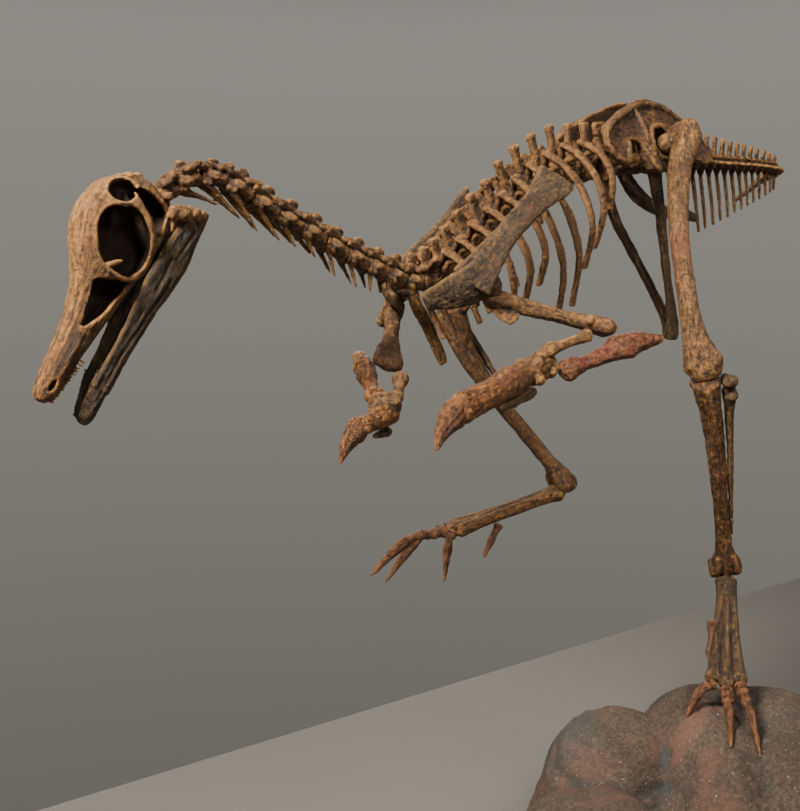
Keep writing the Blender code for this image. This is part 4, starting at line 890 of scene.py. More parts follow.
def ilium(side):
    """Hip blade with its front hook, rimmed open socket, and the stubs below it."""
    def face(x, z, proud):
        """Point proud of the blade's middle plane, outward."""
        return mm(x, side * (blade_y(z) + proud), z)

    rings = []
    for x, low, high, half in smooth_rows(ILIUM_EDGES, 5):
        half = max(half, 1.2)
        levels = []
        for m in range(9):
            f = m / 8
            thick = half * (1 - f) ** 1.5 + 0.95 * (1 - (1 - f) ** 1.5)
            rim = 1.0 + 0.9 * max(0.0, 1 - abs(f - 0.95) / 0.10) if f > 0.5 else 1.0
            levels.append((low + (high - low) * f, thick * rim))
        rings.append([mm(x, side * (blade_y(z) + way * width), min(z, ILIUM_TOP))
                      for way, row in ((-1, levels), (1, levels[::-1])) for z, width in row])
    body = fused([skin(rings)], COARSE)
    at = on_side(side)
    cut(body, [rod(at, BORE, wide=LENGTHWISE, sides=28, cap=0.0)])
    rim = []
    for c, s in turns(28):
        proud = 3.2 + 1.6 * max(0.0, math.cos(math.atan2(s, c) - 0.6))
        rim.append(face(HIP_X + SOCKET_RIM * c, SOCKET_Z + SOCKET_RIM * s, proud))
    threads = [sweep([(face(x, z, proud), r, r) for x, z, r in rows])
               for proud, rows in (ILIUM_LIP, ILIUM_HOOK, ILIUM_BRACE)]
    return [as_shell(body), hoop(rim, 1.7), *threads, *(loft(at, rows) for rows in ILIUM_STUBS)]


# Pubis and ischium: x, y outward, z, half width, half depth.
PUBIS_PATH = {
    LEFT: [(-9, 18, 451.5), (-3, 16.2, 441), (6, 13.2, 426), (18.5, 9, 399), (28, 6.2, 380),
           (34.5, 4, 367), (38, 2.6, 357), (38.5, 2.4, 352)],
    RIGHT: [(-9, 18, 451.5), (-7, 16.4, 441), (-1, 14, 424), (18.5, 9, 396), (34, 5.4, 374),
            (41, 3.2, 361), (42.5, 2.6, 355), (42, 2.4, 352)]}
PUBIS_SIZES = [(4.4, 4.6), (3.2, 4.0), (2.7, 3.2), (2.4, 2.9), (2.4, 3.0), (2.8, 4.4), (3.0, 5.6),
               (2.6, 4.8)]
ISCHIUM_ROWS = [(11, 18.0, 455.5, 3.8, 4.6), (16, 15.5, 446, 2.4, 6.0), (27, 10.5, 436, 2.1, 5.0),
                (44, 5.5, 430.5, 1.9, 3.6), (61, 2.6, 428, 1.8, 2.8)]


def pubis(side):
    """Long rod from below the socket, down and back to its fellow at the midline."""
    rows = [place + size for place, size in zip(PUBIS_PATH[side], PUBIS_SIZES)]
    return [loft(on_side(side), rows, sides=16, steps=6)]


def ischium(side):
    """Shorter bar behind the pubis, reaching back to the midline under the tail."""
    return [loft(on_side(side), ISCHIUM_ROWS, sides=16, steps=6)]


# ------------------------------------------------------------------ skull and jaw

# Skull: place a down the snout, roof and floor as heights n, half width. Teeth on each side.
SKULL_SECTIONS = [(-13.5, 18, 9, 5.0), (-10.5, 22, 4, 8.0), (-7, 25.6, 0.4, 11.0),
                  (-3, 28.6, -1.8, 12.8), (6, 30.4, -2.6, 14.4), (14, 29.6, -2.8, 13.9),
                  (21, 26.8, -2.3, 12.4), (28, 22.4, -1.6, 10.2), (37, 17.4, -1.0, 7.8),
                  (50, 13.8, 0.2, 6.0), (69, 11.4, 1.8, 4.8), (77, 10.0, 2.4, 4.0),
                  (80.5, 8.2, 4.2, 2.6)]
SKULL_PLACES, SKULL_TOPS, SKULL_LOWS, SKULL_HALVES = zip(*SKULL_SECTIONS)
TEETH = 14
# Exponents that make the skull's section boxy, and how far it narrows to the roof.
SKULL_BOXY, SKULL_ROUND, SKULL_NARROWS = 0.66, 0.85, 0.16


def head(side):
    """Maker of the head's points: a down the snout, n to the roof, y outward on one side."""
    return placed(HEAD_ORIGIN, HEAD_ALONG, HEAD_ROOF, LATERAL * side)


def head_skin(sections):
    """Closed skin through sections (a, top, low, half width) of the head."""
    at = head(RIGHT)
    rings = []
    for a, top, low, half in smooth_rows(sections, 5):
        ring = []
        for c, s in turns(44, 0.5):
            y = half * math.copysign(abs(c) ** SKULL_BOXY, c)
            up = math.copysign(abs(s) ** SKULL_ROUND, s)
            ring.append(at(a, (top + low) / 2 + (top - low) / 2 * up,
                           y * (1.0 - SKULL_NARROWS * max(up, 0.0))))
        rings.append(ring)
    return skin(rings)


def rounded(corners, steps):
    """Closed smooth outline through corners."""
    count = len(corners)
    made = []
    for i in range(count):
        four = [np.array(corners[(i + j - 1) % count]) for j in range(4)]
        made += [smooth(four, 1 + k / steps) for k in range(steps)]
    return made


ORBIT = rounded([(7.2, 25.2), (12.5, 25.6), (17.4, 23.6), (22.5, 20.0), (25.4, 16.3), (27.2, 11.5),
                 (26.8, 6.4), (23.5, 2.2), (18.3, -0.4), (13.5, 0.2), (9.2, 2.4), (5.8, 5.8),
                 (2.8, 9.6), (1.2, 13.5), (1.0, 17.2), (3.6, 21.6)], 3)
REAR_WINDOW = rounded([(-6.8, 17.8), (-8.4, 13.0), (-8.0, 7.0), (-6.4, 2.8), (-1.0, 1.2),
                       (2.8, 0.6), (6.6, 1.8), (4.2, 5.4), (1.4, 9.4), (-0.9, 13.6),
                       (-3.2, 17.6)], 4)
FORE_WINDOW = rounded([(31.6, 13.6), (28.6, 8.4), (25.6, 2.4), (29.0, 1.9), (34.0, 2.6),
                       (40.0, 3.4), (45.0, 5.2), (49.6, 8.5), (44.5, 10.4), (38.0, 12.2),
                       (34.2, 13.6)], 4)
FORE_RIM = rounded([(31.4, 14.8), (27.6, 8.6), (24.2, 1.4), (29.0, 0.9), (34.0, 1.5), (40.4, 2.3),
                    (46.0, 4.4), (51.2, 8.6), (45.0, 11.6), (38.2, 13.4), (34.4, 14.8)], 4)
# Threads of bone on the cheek, before and after its windows are cut: radius, inset, points.
REAR_THREAD = (0.9, 0.4, [(-7.6, 18.4), (-9.4, 14.0), (-9.6, 9.0), (-8.0, 4.0), (-6.6, 0.4),
                          (-8.0, -2.4)])
CHEEK_THREADS = [
    (0.65, 0.5, [(-3.6, 18.6), (-1.6, 15.8), (0.2, 13.2), (2.4, 9.4), (5.0, 5.9), (8.2, 2.8),
                 (11.0, 1.0)]),
    (0.9, 0.1, [(26.6, 13.6), (27.0, 9.0), (26.4, 4.8), (23.2, 1.0), (18.6, -1.4),
                (13.0, -1.2)]),
    (0.75, 0.45, [(24.5, 17.6), (31.0, 15.9), (38.0, 14.4), (46.0, 12.2), (56.0, 10.6),
                  (66.0, 9.8)])]


def window(points, inner, outer, side, flare=1.0):
    """Prism through the cheek with outline points (a, n); flare widens its outer end."""
    at = head(side)
    centre = np.mean(points, axis=0)
    rings = []
    for k in range(5):
        f = k / 4
        grow = 1.0 + (flare - 1.0) * f
        rings.append([at(*(centre + (point - centre) * grow), inner + (outer - inner) * f)
                      for point in points])
    return skin(rings)


def teeth(start, end, lean, halves, side):
    """Small cones along one side of a jaw tip, between two (a, n) points."""
    made = []
    for f in np.linspace(0.0, 1.0, TEETH):
        a, n = np.array(start) + (np.array(end) - start) * f
        y = halves[0] + (halves[1] - halves[0]) * f
        made.append(loft(head(side), [(a, n, y, 0.46, 0.5), (a, n + 0.6 * lean, y, 0.4, 0.4),
                                      (a - 0.2, n + lean, y, 0.22, 0.22)], sides=7, steps=2))
    return made


def cheek_point(a, n, side, inset):
    """Point inset from the cheek's surface at (a, n)."""
    section = np.interp(a, SKULL_PLACES, range(len(SKULL_PLACES)))
    half = np.interp(a, SKULL_PLACES, SKULL_HALVES)
    top, low = smooth(SKULL_TOPS, section), smooth(SKULL_LOWS, section)
    up = max(-0.98, min(0.98, (n - (top + low) / 2) / max((top - low) / 2, 0.1)))
    c = math.sqrt(max(0.0, 1 - abs(up) ** (2 / SKULL_ROUND)))
    out = half * c ** SKULL_BOXY * (1.0 - SKULL_NARROWS * max(up, 0.0))
    return head(side)(a, n, out - inset)


def cheek_rim(points, side, radius, inset):
    """Raised thread of bone along an outline on the cheek."""
    return hoop([cheek_point(a, n, side, inset) for a, n in points], radius)


def cheek_thread(side, radius, inset, points):
    """Open thread of bone along the cheek, thinner at both ends."""
    last = len(points) - 1
    radii = [radius * (0.6 if k in (0, last) else 1.0) for k in range(len(points))]
    return sweep([(cheek_point(a, n, side, inset), r, r) for (a, n), r in zip(points, radii)],
                 sides=10)


def skull():
    """Long tapering skull: openings for the eye, behind it, above it and before it."""
    solids = [head_skin(SKULL_SECTIONS),
              rod(head(RIGHT), [(-8.0, 7.0, 0, 4.6), (-12.6, 5.4, 0, 3.0), (-14.6, 5.0, 0, 2.8)])]
    tools = []
    shells = []
    for side in (LEFT, RIGHT):
        at = head(side)
        solids += [loft(at, [(-6.6, 1.5, 10.6, 1.7, 2.8), (-8.6, -2.2, 10.0, 2.2, 3.2),
                             (-10.6, -5.4, 9.8, 2.2, 3.0), (-12.4, -8.0, 9.6, 2.0, 2.6)]),
                   loft(at, [(-3.6, -1.0, 9.4, 0.9, 3.4), (-5.4, -4.6, 9.2, 0.9, 3.8),
                             (-8.6, -7.6, 9.2, 0.9, 2.6)]),
                   *lumps(at, [(-9.2, -3.0, 10.4, 2.9), (-12.4, -7.4, 9.9, 2.8),
                               (-14.2, -10.2, 9.4, 2.2), (-10.4, -1.6, 9.0, 2.0),
                               (-12.9, -5.4, 8.8, 2.0)]),
                   cheek_thread(side, *REAR_THREAD)]
        tools += [window(ORBIT, 0.7, 22.0, side, 1.03), window(REAR_WINDOW, 2.2, 22.0, side),
                  window(FORE_WINDOW, 0.7, 20.0, side, 1.02),
                  rod(at, [(-2.6, 19.2, 3.4, 4.6), (-2.4, 23.0, 10.0, 5.6),
                           (-2.0, 29.5, 21.0, 6.0)], wide=LENGTHWISE, sides=24, cap=0.0),
                  loft(at, [(74.5, 6.6, 6.4, 3.0, 1.4), (73.5, 6.2, 2.6, 2.4, 1.0)],
                       wide=HEAD_ALONG, cap=0.0)]
        shells += [cheek_rim(ORBIT, side, 0.65, 0.7), cheek_rim(FORE_RIM, side, 0.6, 0.8),
                   *(cheek_thread(side, *thread) for thread in CHEEK_THREADS),
                   rod(at, [(25.6, 13.4, 10.2, 1.1), (23.4, 11.6, 10.6, 0.8),
                            (21.4, 9.6, 10.4, 0.6)]),
                   *lumps(at, [(-13.0, 17.2, 2.0, (2.2, 2.2, 2.0)),
                               (-10.2, 20.6, 3.6, (2.6, 2.4, 1.8))]),
                   *teeth((60.5, 1.3), (79.0, 3.6), -1.5, (4.4, 2.2), side)]
    body = fused(solids, MEDIUM)
    cut(body, tools)
    return [as_shell(body)] + shells


def in_head(co):
    """Places of points in the head's frame: a down the snout, n to the roof, distance from
    the middle."""
    local = (co - np.array(HEAD_ORIGIN)) / MM
    return local @ np.array(HEAD_ALONG), local @ np.array(HEAD_ROOF), np.abs(local[:, 1])


def skull_shade(co):
    """Painted shade of each point: large within the openings, more on the sides and the snout
    than on the roof; negative on the roof, where it paints a highlight."""
    a, n, y = in_head(co)
    top, low, half = (np.interp(a, SKULL_PLACES, values)
                      for values in (SKULL_TOPS, SKULL_LOWS, SKULL_HALVES))
    up = np.clip((n - (top + low) / 2) / np.maximum((top - low) / 2, 0.1), -0.99, 0.99)
    surface = half * np.sqrt(1 - np.abs(up) ** 2.35) ** SKULL_BOXY
    depth = surface * (1.0 - SKULL_NARROWS * np.maximum(up, 0.0)) - y

    def rise(value, start, width):
        """0 up to start, then up to 1 over width."""
        return np.clip((value - start) / width, 0.0, 1.0)

    # Painted shade in the openings, on the sides and towards the snout tip; painted highlight on
    # the roof.
    opening_shade = (rise(depth, 1.6, 2.0) * rise(top - n, 2.6, 2.0) * rise(n - low, 1.0, 1.5)
              * rise(-a, -56.0, 3.0))
    sides = 0.34 * rise(-up, -0.80, 0.35) + 0.16 * rise(a, 42.0, 22.0)
    roof_highlight = 0.55 * rise(up, 0.78, 0.18) * rise(-a, -48.0, 14.0)
    return opening_shade * 5.0 + sides - roof_highlight


# Sutures of the roof as (a, distance from the middle), grooves of the jaw as (a, n).
SUTURES = [[(26, 0.0), (30, 3.2), (24, 6.4), (10, 7.6)], [(30, 3.2), (44, 4.2), (58, 3.4)],
           [(30, 0.2), (76, 0.2)], [(2, 0.2), (24, 0.2)], [(2, 0.2), (-1, 7.0)]]
JAW_GROOVES = [[(-6, -10.5), (8, -9.4)], [(8, -7.4), (24, -8.6)],
               [(16, -11.8), (50, -10.4), (70, -11.6)]]


def grooves(u, v, lines, depth, width, wobble=0.0):
    """Depth of grooves along lines, for points at (u, v)."""
    made = np.zeros(len(u))
    for line in lines:
        for (u0, v0), (u1, v1) in zip(line, line[1:]):
            du, dv = u1 - u0, v1 - v0
            t = np.clip(((u - u0) * du + (v - v0) * dv) / (du * du + dv * dv), 0, 1)
            d = np.hypot(u - u0 - t * du, v - v0 - t * dv + wobble)
            made = np.minimum(made, -depth * np.exp(-(d / width) ** 2))
    return made


def skull_marks(co, normal):
    """Fine sutures along the roof, in millimetres of depth."""
    a, _, y = in_head(co)
    facing_up = np.clip((normal @ np.array(HEAD_ROOF) - 0.15) * 3.0, 0.0, 1.0)
    return grooves(a, y, SUTURES, 0.42, 0.45, 0.5 * value_noise(co, 0.0022, 9)) * facing_up


def jaw_marks(co, _):
    """Long grooves along the outer face of the lower jaw."""
    a, n, _ = in_head(co)
    return grooves(a, n, JAW_GROOVES, 0.4, 0.6)


# Lower jaw: a, top, low, distance from the middle; its tip: a, top, low, half width; and the
# section of its plate: outward, share of its height.
JAW_SECTIONS = [(-16.5, -10.4, -13.8, 8.6), (-13, -7.6, -13.7, 9.4), (-3, -3.8, -14.3, 10.2),
                (8, -2.8, -15.4, 10.2), (20, -2.9, -14.8, 9.4), (30, -3.8, -14.0, 8.4),
                (46, -6.2, -14.0, 6.2), (66, -6.9, -14.5, 4.4)]
JAW_TIP = [(56.0, -6.2, -14.0, 5.9), (64.0, -6.4, -14.6, 5.4), (73.0, -7.8, -15.3, 4.6),
           (77.5, -9.4, -15.2, 3.6), (79.8, -11.6, -14.4, 2.0)]
JAW_PLATE = [(-1.5, 0.10), (-0.8, -0.01), (0.1, 0.0), (0.7, 0.16), (0.9, 0.40), (0.6, 0.66),
             (0.7, 0.90), (0.3, 1.0), (-0.6, 1.0), (-1.1, 0.86), (-0.9, 0.55), (-1.3, 0.25)]


def mandible():
    """Lower jaw: two thin deep plates that meet in a blunt tip, hung a little open."""
    shells = [head_skin(JAW_TIP)]
    for side in (LEFT, RIGHT):
        at = head(side)
        shells.append(skin([[at(a, low + f * (top - low), y + w) for w, f in JAW_PLATE]
                            for a, top, low, y in smooth_rows(JAW_SECTIONS, 6)]))
        shells += teeth((60.5, -6.8), (78.0, -10.4), 1.5, (5.0, 2.4), side)
    return shells


# ------------------------------------------------------------------ shoulder, arm and hand

# Shoulder blade: place of its strap, and there half thickness and half width.
SHOULDER_BLADE = {
    LEFT: [(-118, -34, 436), (-124, -35.5, 431.5), (-138, -36.5, 422), (-152, -36.5, 411),
           (-163, -35.5, 400.5), (-171, -33.5, 390.5), (-177, -30.5, 382)],
    RIGHT: [(-114, 27, 428), (-120, 28.5, 423.5), (-132, 30, 414.5), (-144, 30.5, 405),
            (-156, 31, 395.5), (-166, 31, 387), (-176, 30, 380.5)]}
BLADE_SIZES = [(1.6, 10.6), (1.9, 9.4), (2.5, 6.2), (2.9, 5.6), (2.9, 6.2), (2.6, 8.4), (2.4, 10.6)]
# Direction of the strap's thin side; the left blade's outer face is turned up along the ribs.
BLADE_FACE = {LEFT: Vector((-0.42, -0.80, 0.43)), RIGHT: LATERAL}


def scapula(side):
    """Shoulder blade: a flared strap along the ribs, with the rough plate by the chest."""
    at = on_side(side)
    strap = [place + size for place, size in zip(SHOULDER_BLADE[side], BLADE_SIZES)]
    return [loft(mm, strap, wide=BLADE_FACE[side], sides=20, steps=5, square=0.85, cap=0.3),
            loft(at, [(-171, 32.5, 385, 2.8, 10.0), (-179, 27.0, 379, 2.4, 9.5),
                      (-187, 10.0, 373, 1.6, 5.0)], sides=20, steps=6),
            rod(at, [(-171, 31.5, 384, 5.0), (-163.5, 31.0, 379.5, 5.6)]),
            hoop([at(-163.0 + 1.2 * c, 31.0 + 4.4 * s, 379.6 + 4.8 * c)
                  for c, s in turns(20)], 1.3)]


def sternum():
    """Keeled breast bone, hanging between the shoulder plates."""
    return [loft(mm, [(-186, 0, 375.5, 1.8, 2.8), (-183.5, 0, 371, 2.2, 3.4),
                      (-176, 0, 361, 1.8, 3.4), (-168, 0, 348, 1.6, 3.4),
                      (-164.5, 0, 342.5, 1.4, 2.4)], sides=16, steps=6)]


# Humerus: fraction along it, half width across the hinge, half depth. Its crest: distance
# across and in front, half width, half depth, and the fractions along the bone. Its roller:
# how far to each side.
HUMERUS_SIZES = {
    LEFT: [(-0.06, 5.0, 3.8), (0.06, 5.8, 4.6), (0.30, 3.6, 4.0), (0.60, 3.2, 3.2),
           (0.84, 4.4, 3.8), (0.98, 5.3, 4.3), (1.05, 4.2, 3.2)],
    RIGHT: [(-0.06, 4.4, 3.8), (0.06, 5.8, 4.6), (0.30, 4.2, 4.2), (0.60, 3.8, 3.8),
            (0.80, 5.6, 4.3), (0.96, 7.6, 4.9), (1.04, 6.2, 3.8)]}
CREST_SIZES = [(0, 0, 2.0, 4.2), (0, 4.0, 1.9, 5.4), (0, 7.6, 1.4, 3.6)]
CREST_PLACE = {LEFT: (0.02, 0.10, 0.20), RIGHT: (0.06, 0.20, 0.32)}
HINGE_REACH = {LEFT: 3.4, RIGHT: 4.8}


def humerus(side):
    """Upper arm bone with its large crest and rolled lower end."""
    top, end = SHOULDER[side], ELBOW[side]
    along = (mm(*end) - mm(*top)).normalized()
    crest_way = squared(Vector((-0.25, 0.25 * side, -0.9)), along)
    side_way = along.cross(crest_way)
    at = limb(top, end, side_way, crest_way)
    reach = HINGE_REACH[side]
    crest = [(f, *row) for f, row in zip(CREST_PLACE[side], CREST_SIZES)]
    shells = [loft(at, HUMERUS_SIZES[side], wide=side_way, sides=18, steps=6),
              loft(at, crest, wide=side_way),
              *lumps(at, [(0.99, -reach, 0.6, (3.1, 3.0, 3.3)), (0.99, reach, 0.6, (3.1, 3.0, 3.3)),
                          (0.82, -4.4, 0, (2.2, 2.2, 2.6)), (-0.02, 0, -1.0, (4.6, 4.4, 4.2))])]
    if side == RIGHT:
        shells += [ball(at(0.97, 0, -1.5), (3.0, 3.0, 3.2)),
                   sweep([(at(0.04), 3.4, 3.4), (mm(-172.0, 35.0, 366.5), 3.0, 3.6),
                          (mm(-177.0, 34.5, 362.0), 2.0, 2.6)])]
    return shells


# Ulna: fraction from the point behind the elbow, how far the bone's middle is raised there,
# half width towards the upper arm, half depth.
ULNA_SIZES = {
    LEFT: [(0.0, 0, 1.8, 2.2), (0.12, 0.6, 3.4, 3.4), (0.30, 1.8, 5.9, 4.5), (0.46, 1.8, 6.1, 4.5),
           (0.60, 0.8, 4.4, 4.0), (0.78, 0, 3.5, 3.4), (0.94, 0, 5.6, 5.0), (1.0, 0, 4.6, 4.4)],
    RIGHT: [(0.0, 0, 2.0, 2.4), (0.12, 0, 3.6, 3.8), (0.34, 0, 4.9, 5.0), (0.54, 0, 4.5, 4.8),
            (0.72, 0, 3.1, 3.3), (0.84, 0, 3.0, 3.0), (0.95, 0, 4.6, 4.6), (1.0, 0, 3.8, 3.8)]}
ULNA_RIDGE = [(0.14, 2.6, 1.0), (0.24, 4.6, 1.6), (0.33, 5.2, 1.7), (0.42, 4.9, 1.2)]


def ulna(side):
    """Forearm bone with the very long point behind the elbow and a rough ridge over it."""
    point, end = OLECRANON[side], ULNA_END[side]
    wide = (mm(*SHOULDER[side]) - mm(*ELBOW[side])).normalized()
    along = (mm(*end) - mm(*point)).normalized()
    at = limb(point, end, UP, wide, along, along.cross(wide))
    rise = 1.8 if side == LEFT else 0.0
    return [loft(at, ULNA_SIZES[side], wide=wide, sides=18, steps=6),
            rod(at, [(0.52, 0, 4.0, -4.0, 1.5), (0.52, 0, 4.0, 0, 2.4), (0.52, 0, 4.0, 4.0, 1.4)]),
            rod(at, [(f, rise, height, r) for f, height, r in ULNA_RIDGE]),
            *lumps(at, [(0.95, 0, 2.2, 0, 2.4, 2.6), (0.96, 0, -2.0, 0, 2.2, 2.4),
                        (0.93, 0, 1.2, 0, -2.6, 2.3)])]


RADIUS_SIZES = {
    LEFT: [(0.0, 3.3), (0.12, 3.0), (0.3, 2.4), (0.68, 2.5), (0.92, 3.9), (1.0, 3.4)],
    RIGHT: [(0.0, 3.9), (0.12, 3.7), (0.3, 2.7), (0.7, 2.5), (0.93, 3.3), (1.0, 3.1)]}


def radius(side):
    """Thin second bone of the forearm, beside the ulna."""
    return [rod(limb(RADIUS_TOP[side], RADIUS_END[side]), RADIUS_SIZES[side], steps=5)]


def hand_axes(side):
    """Direction of the hand, its broad side and the way its claw bends."""
    wrist_end, knuckle, tip = mm(*WRIST[side]), mm(*KNUCKLE[side]), mm(*CLAW_TIP[side])
    along = (knuckle - wrist_end).normalized()
    bend = squared(tip - knuckle, along)
    return along, along.cross(bend), bend


# Wrist: distance from the wrist's point along the block, half width, half depth; its lumps:
# distances along, across and deep, radius.
WRIST_SIZES = {
    LEFT: [(-10.5, 3.6, 4.0), (-7.0, 4.6, 5.4), (-2.0, 6.0, 6.6), (5.0, 5.6, 6.4), (8.0, 4.8, 5.6),
           (13.0, 5.0, 6.6)],
    RIGHT: [(-4.4, 6.2, 4.2), (-2.0, 7.8, 5.2), (1.6, 7.6, 5.0), (4.0, 6.0, 4.2)]}
WRIST_LUMPS = {
    LEFT: [(-8.0, 3.0, 3.0, 2.6), (-8.4, -2.6, -2.8, 2.4), (-4.0, 4.0, 3.8, 2.9),
           (1.0, -4.2, 4.6, 3.2), (-1.5, 3.0, -5.2, 3.0), (-3.0, -4.4, -3.4, 2.8),
           (6.5, -3.4, -4.6, 2.8), (5.6, 4.0, 4.2, 2.9), (3.0, 4.2, -3.4, 2.6)],
    RIGHT: [(-2.4, 5.0, 2.4, 2.6), (1.2, -5.2, 2.6, 2.8), (-1.6, -4.4, -2.6, 2.7),
            (2.2, 4.4, -2.2, 2.6), (0.2, 0.4, 3.4, 2.9)]}


def wrist(side):
    """Block of wrist bones, rounded stones pressed together."""
    along, broad, bend = hand_axes(side)
    start = mm(*WRIST[side])
    if side == RIGHT:
        along, broad, start = -UP, Vector((0.73, -0.68, 0.0)), mm(*RIGHT_WRIST_BLOCK)
        bend = along.cross(broad)
    at = placed(start, along, broad, bend)
    return [loft(at, WRIST_SIZES[side], wide=broad, sides=20), *lumps(at, WRIST_LUMPS[side])]


# Finger: fraction from wrist to knuckle, half width, half depth; how far its roller's balls
# lie before and behind it. Splint: how far it lies under the finger, and the same sizes.
FINGER_SIZES = {
    LEFT: [(0.22, 5.4, 7.0), (0.34, 5.6, 7.4), (0.58, 4.8, 6.4), (0.80, 4.8, 6.6),
           (0.92, 5.2, 7.2), (0.98, 4.4, 6.2)],
    RIGHT: [(-0.04, 3.8, 4.0), (0.30, 4.6, 4.8), (0.55, 4.1, 4.3), (0.80, 4.2, 4.3),
            (0.92, 4.5, 4.6), (0.98, 3.8, 4.0)]}
KNUCKLE_DEEP = {LEFT: 1.7, RIGHT: 0.4}
SPLINT_DROP = {LEFT: 8.8, RIGHT: 7.0}
SPLINT_SIZES = [(0.12, 1.5, 1.7), (0.18, 2.2, 2.4), (0.24, 2.4, 2.6), (0.31, 1.8, 1.9),
                (0.38, 2.0, 2.0), (0.48, 1.5, 1.5), (0.56, 1.4, 1.2)]


def finger(side):
    """The one large finger: a massive bone with a roller end."""
    _, broad, bend = hand_axes(side)
    at = limb(WRIST[side], KNUCKLE[side], broad, bend)
    deep = KNUCKLE_DEEP[side]
    return [loft(at, FINGER_SIZES[side], wide=broad, sides=20, steps=6),
            loft(at, [(0.26, 0, -3.6, 2.0, 3.2), (0.52, 0, -4.0, 1.4, 1.8)], wide=broad),
            *lumps(at, [(0.93, way * 2.5, sign * deep, size)
                        for way in (-1, 1) for sign, size in ((1, 2.9), (-1, 2.7))])]


def splint(side):
    """Small second bone lying under the finger."""
    _, broad, bend = hand_axes(side)
    at = limb(WRIST[side], KNUCKLE[side], bend)
    return [loft(at, [(f, SPLINT_DROP[side], w, d) for f, w, d in SPLINT_SIZES], wide=broad,
                 sides=12, steps=5)]


# Claw: share of the way to the tip, how far it bulges outward, half width, half depth.
CLAW_SIZES = [(-0.06, 0.0, 3.6, 6.2), (0.12, 0.4, 4.0, 6.6), (0.34, 1.2, 3.5, 5.4),
              (0.58, 1.5, 2.6, 3.8), (0.82, 0.9, 1.5, 2.0), (1.0, 0.0, 0.5, 0.5)]
CLAW_DEPTH = {LEFT: 1.0, RIGHT: 0.84}


def hand_claw(side):
    """Large curved claw of the hand, deep at its base."""
    along, broad, _ = hand_axes(side)
    start, tip = mm(*KNUCKLE[side]), mm(*CLAW_TIP[side])
    way = (tip - start).normalized()
    outward = squared(along, way)
    scale = CLAW_DEPTH[side]
    rows = [(f, bulge, w, d * scale) for f, bulge, w, d in CLAW_SIZES]
    base = placed(start, way, outward, broad)
    return [loft(limb(KNUCKLE[side], CLAW_TIP[side], outward), rows, wide=broad, sides=18, steps=6),
            rod(base, [(1.4, -5.0 * scale, 2.0), (4.6, -5.0 * scale, 1.5)]),
            *lumps(base, [(0, 0, lean * 1.9, (2.5, 2.5, 4.6 * scale)) for lean in (-1, 1)])]


# ------------------------------------------------------------------ leg and foot

# Thigh bone and shin bone: fraction along it, share of the bow, half width, half depth.
FEMUR_SIZES = [(-0.045, 0.0, 4.8, 5.8), (0.02, 0.12, 7.7, 7.1), (0.13, 0.66, 6.4, 5.8),
               (0.30, 0.98, 5.7, 5.2), (0.45, 1.04, 5.3, 5.0), (0.60, 0.90, 5.2, 4.8),
               (0.80, 0.65, 5.7, 5.0), (0.92, 0.32, 8.8, 7.2), (0.98, 0.08, 9.8, 7.6),
               (1.02, 0.0, 8.2, 6.0)]
TIBIA_SIZES = [(0.05, 0.2, 7.9, 9.2), (0.13, 0.5, 6.5, 8.2), (0.26, 1.0, 5.4, 6.1),
               (0.45, 1.0, 4.9, 4.7), (0.70, 0.5, 4.2, 4.0), (0.87, 0.1, 5.0, 4.4),
               (0.94, 0.0, 8.4, 5.9), (0.99, 0.0, 8.0, 5.3)]


def leg_axes(side, start, end):
    """Hinge direction of a leg, forward and along, for its bone from start to end."""
    thigh = mm(*KNEE[side]) - mm(HIP_X, side * HIP_HALF_WIDTH, HIP_Z)
    hinge = thigh.cross(mm(*ANKLE[side]) - mm(*KNEE[side])).normalized()
    if hinge.y * side < 0:
        hinge = -hinge
    along = (mm(*end) - mm(*start)).normalized()
    return hinge, hinge.cross(along).normalized() * side, along


def femur(side):
    """Thigh bone: round head turned in to the socket, bowed shaft, two knuckles below."""
    head_place = (HIP_X, side * HIP_HALF_WIDTH, HIP_Z)
    top = (HIP_X + 4.0, side * (HIP_HALF_WIDTH + 12.5), HIP_Z + 4.0)
    axes = hinge, fore, _ = leg_axes(side, top, KNEE[side])
    at = limb(top, KNEE[side], Vector(FEMUR_BOW[side]), hinge, fore)
    neck = limb(top, head_place)
    shells = [loft(at, FEMUR_SIZES, wide=hinge, sides=24, steps=6)]
    for way in (-6.2, 6.2):
        shells += lumps(at, [(0.965, 0.1, way, -2.8, (4.6, 5.0, 5.8)),
                             (0.965, 0.1, way, 2.8, (3.4, 4.4, 5.2))], axes=axes, sides=18)
    return shells + [
        sweep([(at(0.02), 5.2, 5.2), (neck(0.30), 4.6, 4.6), (neck(0.62), 4.4, 4.4)], LENGTHWISE),
        ball(neck(0.95), 5.8, sides=20),
        loft(at, [(0.0, 0, 3.0, 2.0, 3.0, 3.6), (0.10, 0.5, 4.0, 0, 2.0, 2.8)], wide=hinge),
        loft(at, [(0.10, 0.5, 0, -4.0, 1.8, 2.0), (0.22, 0.8, 0, -3.6, 1.6, 1.8)], wide=hinge)]


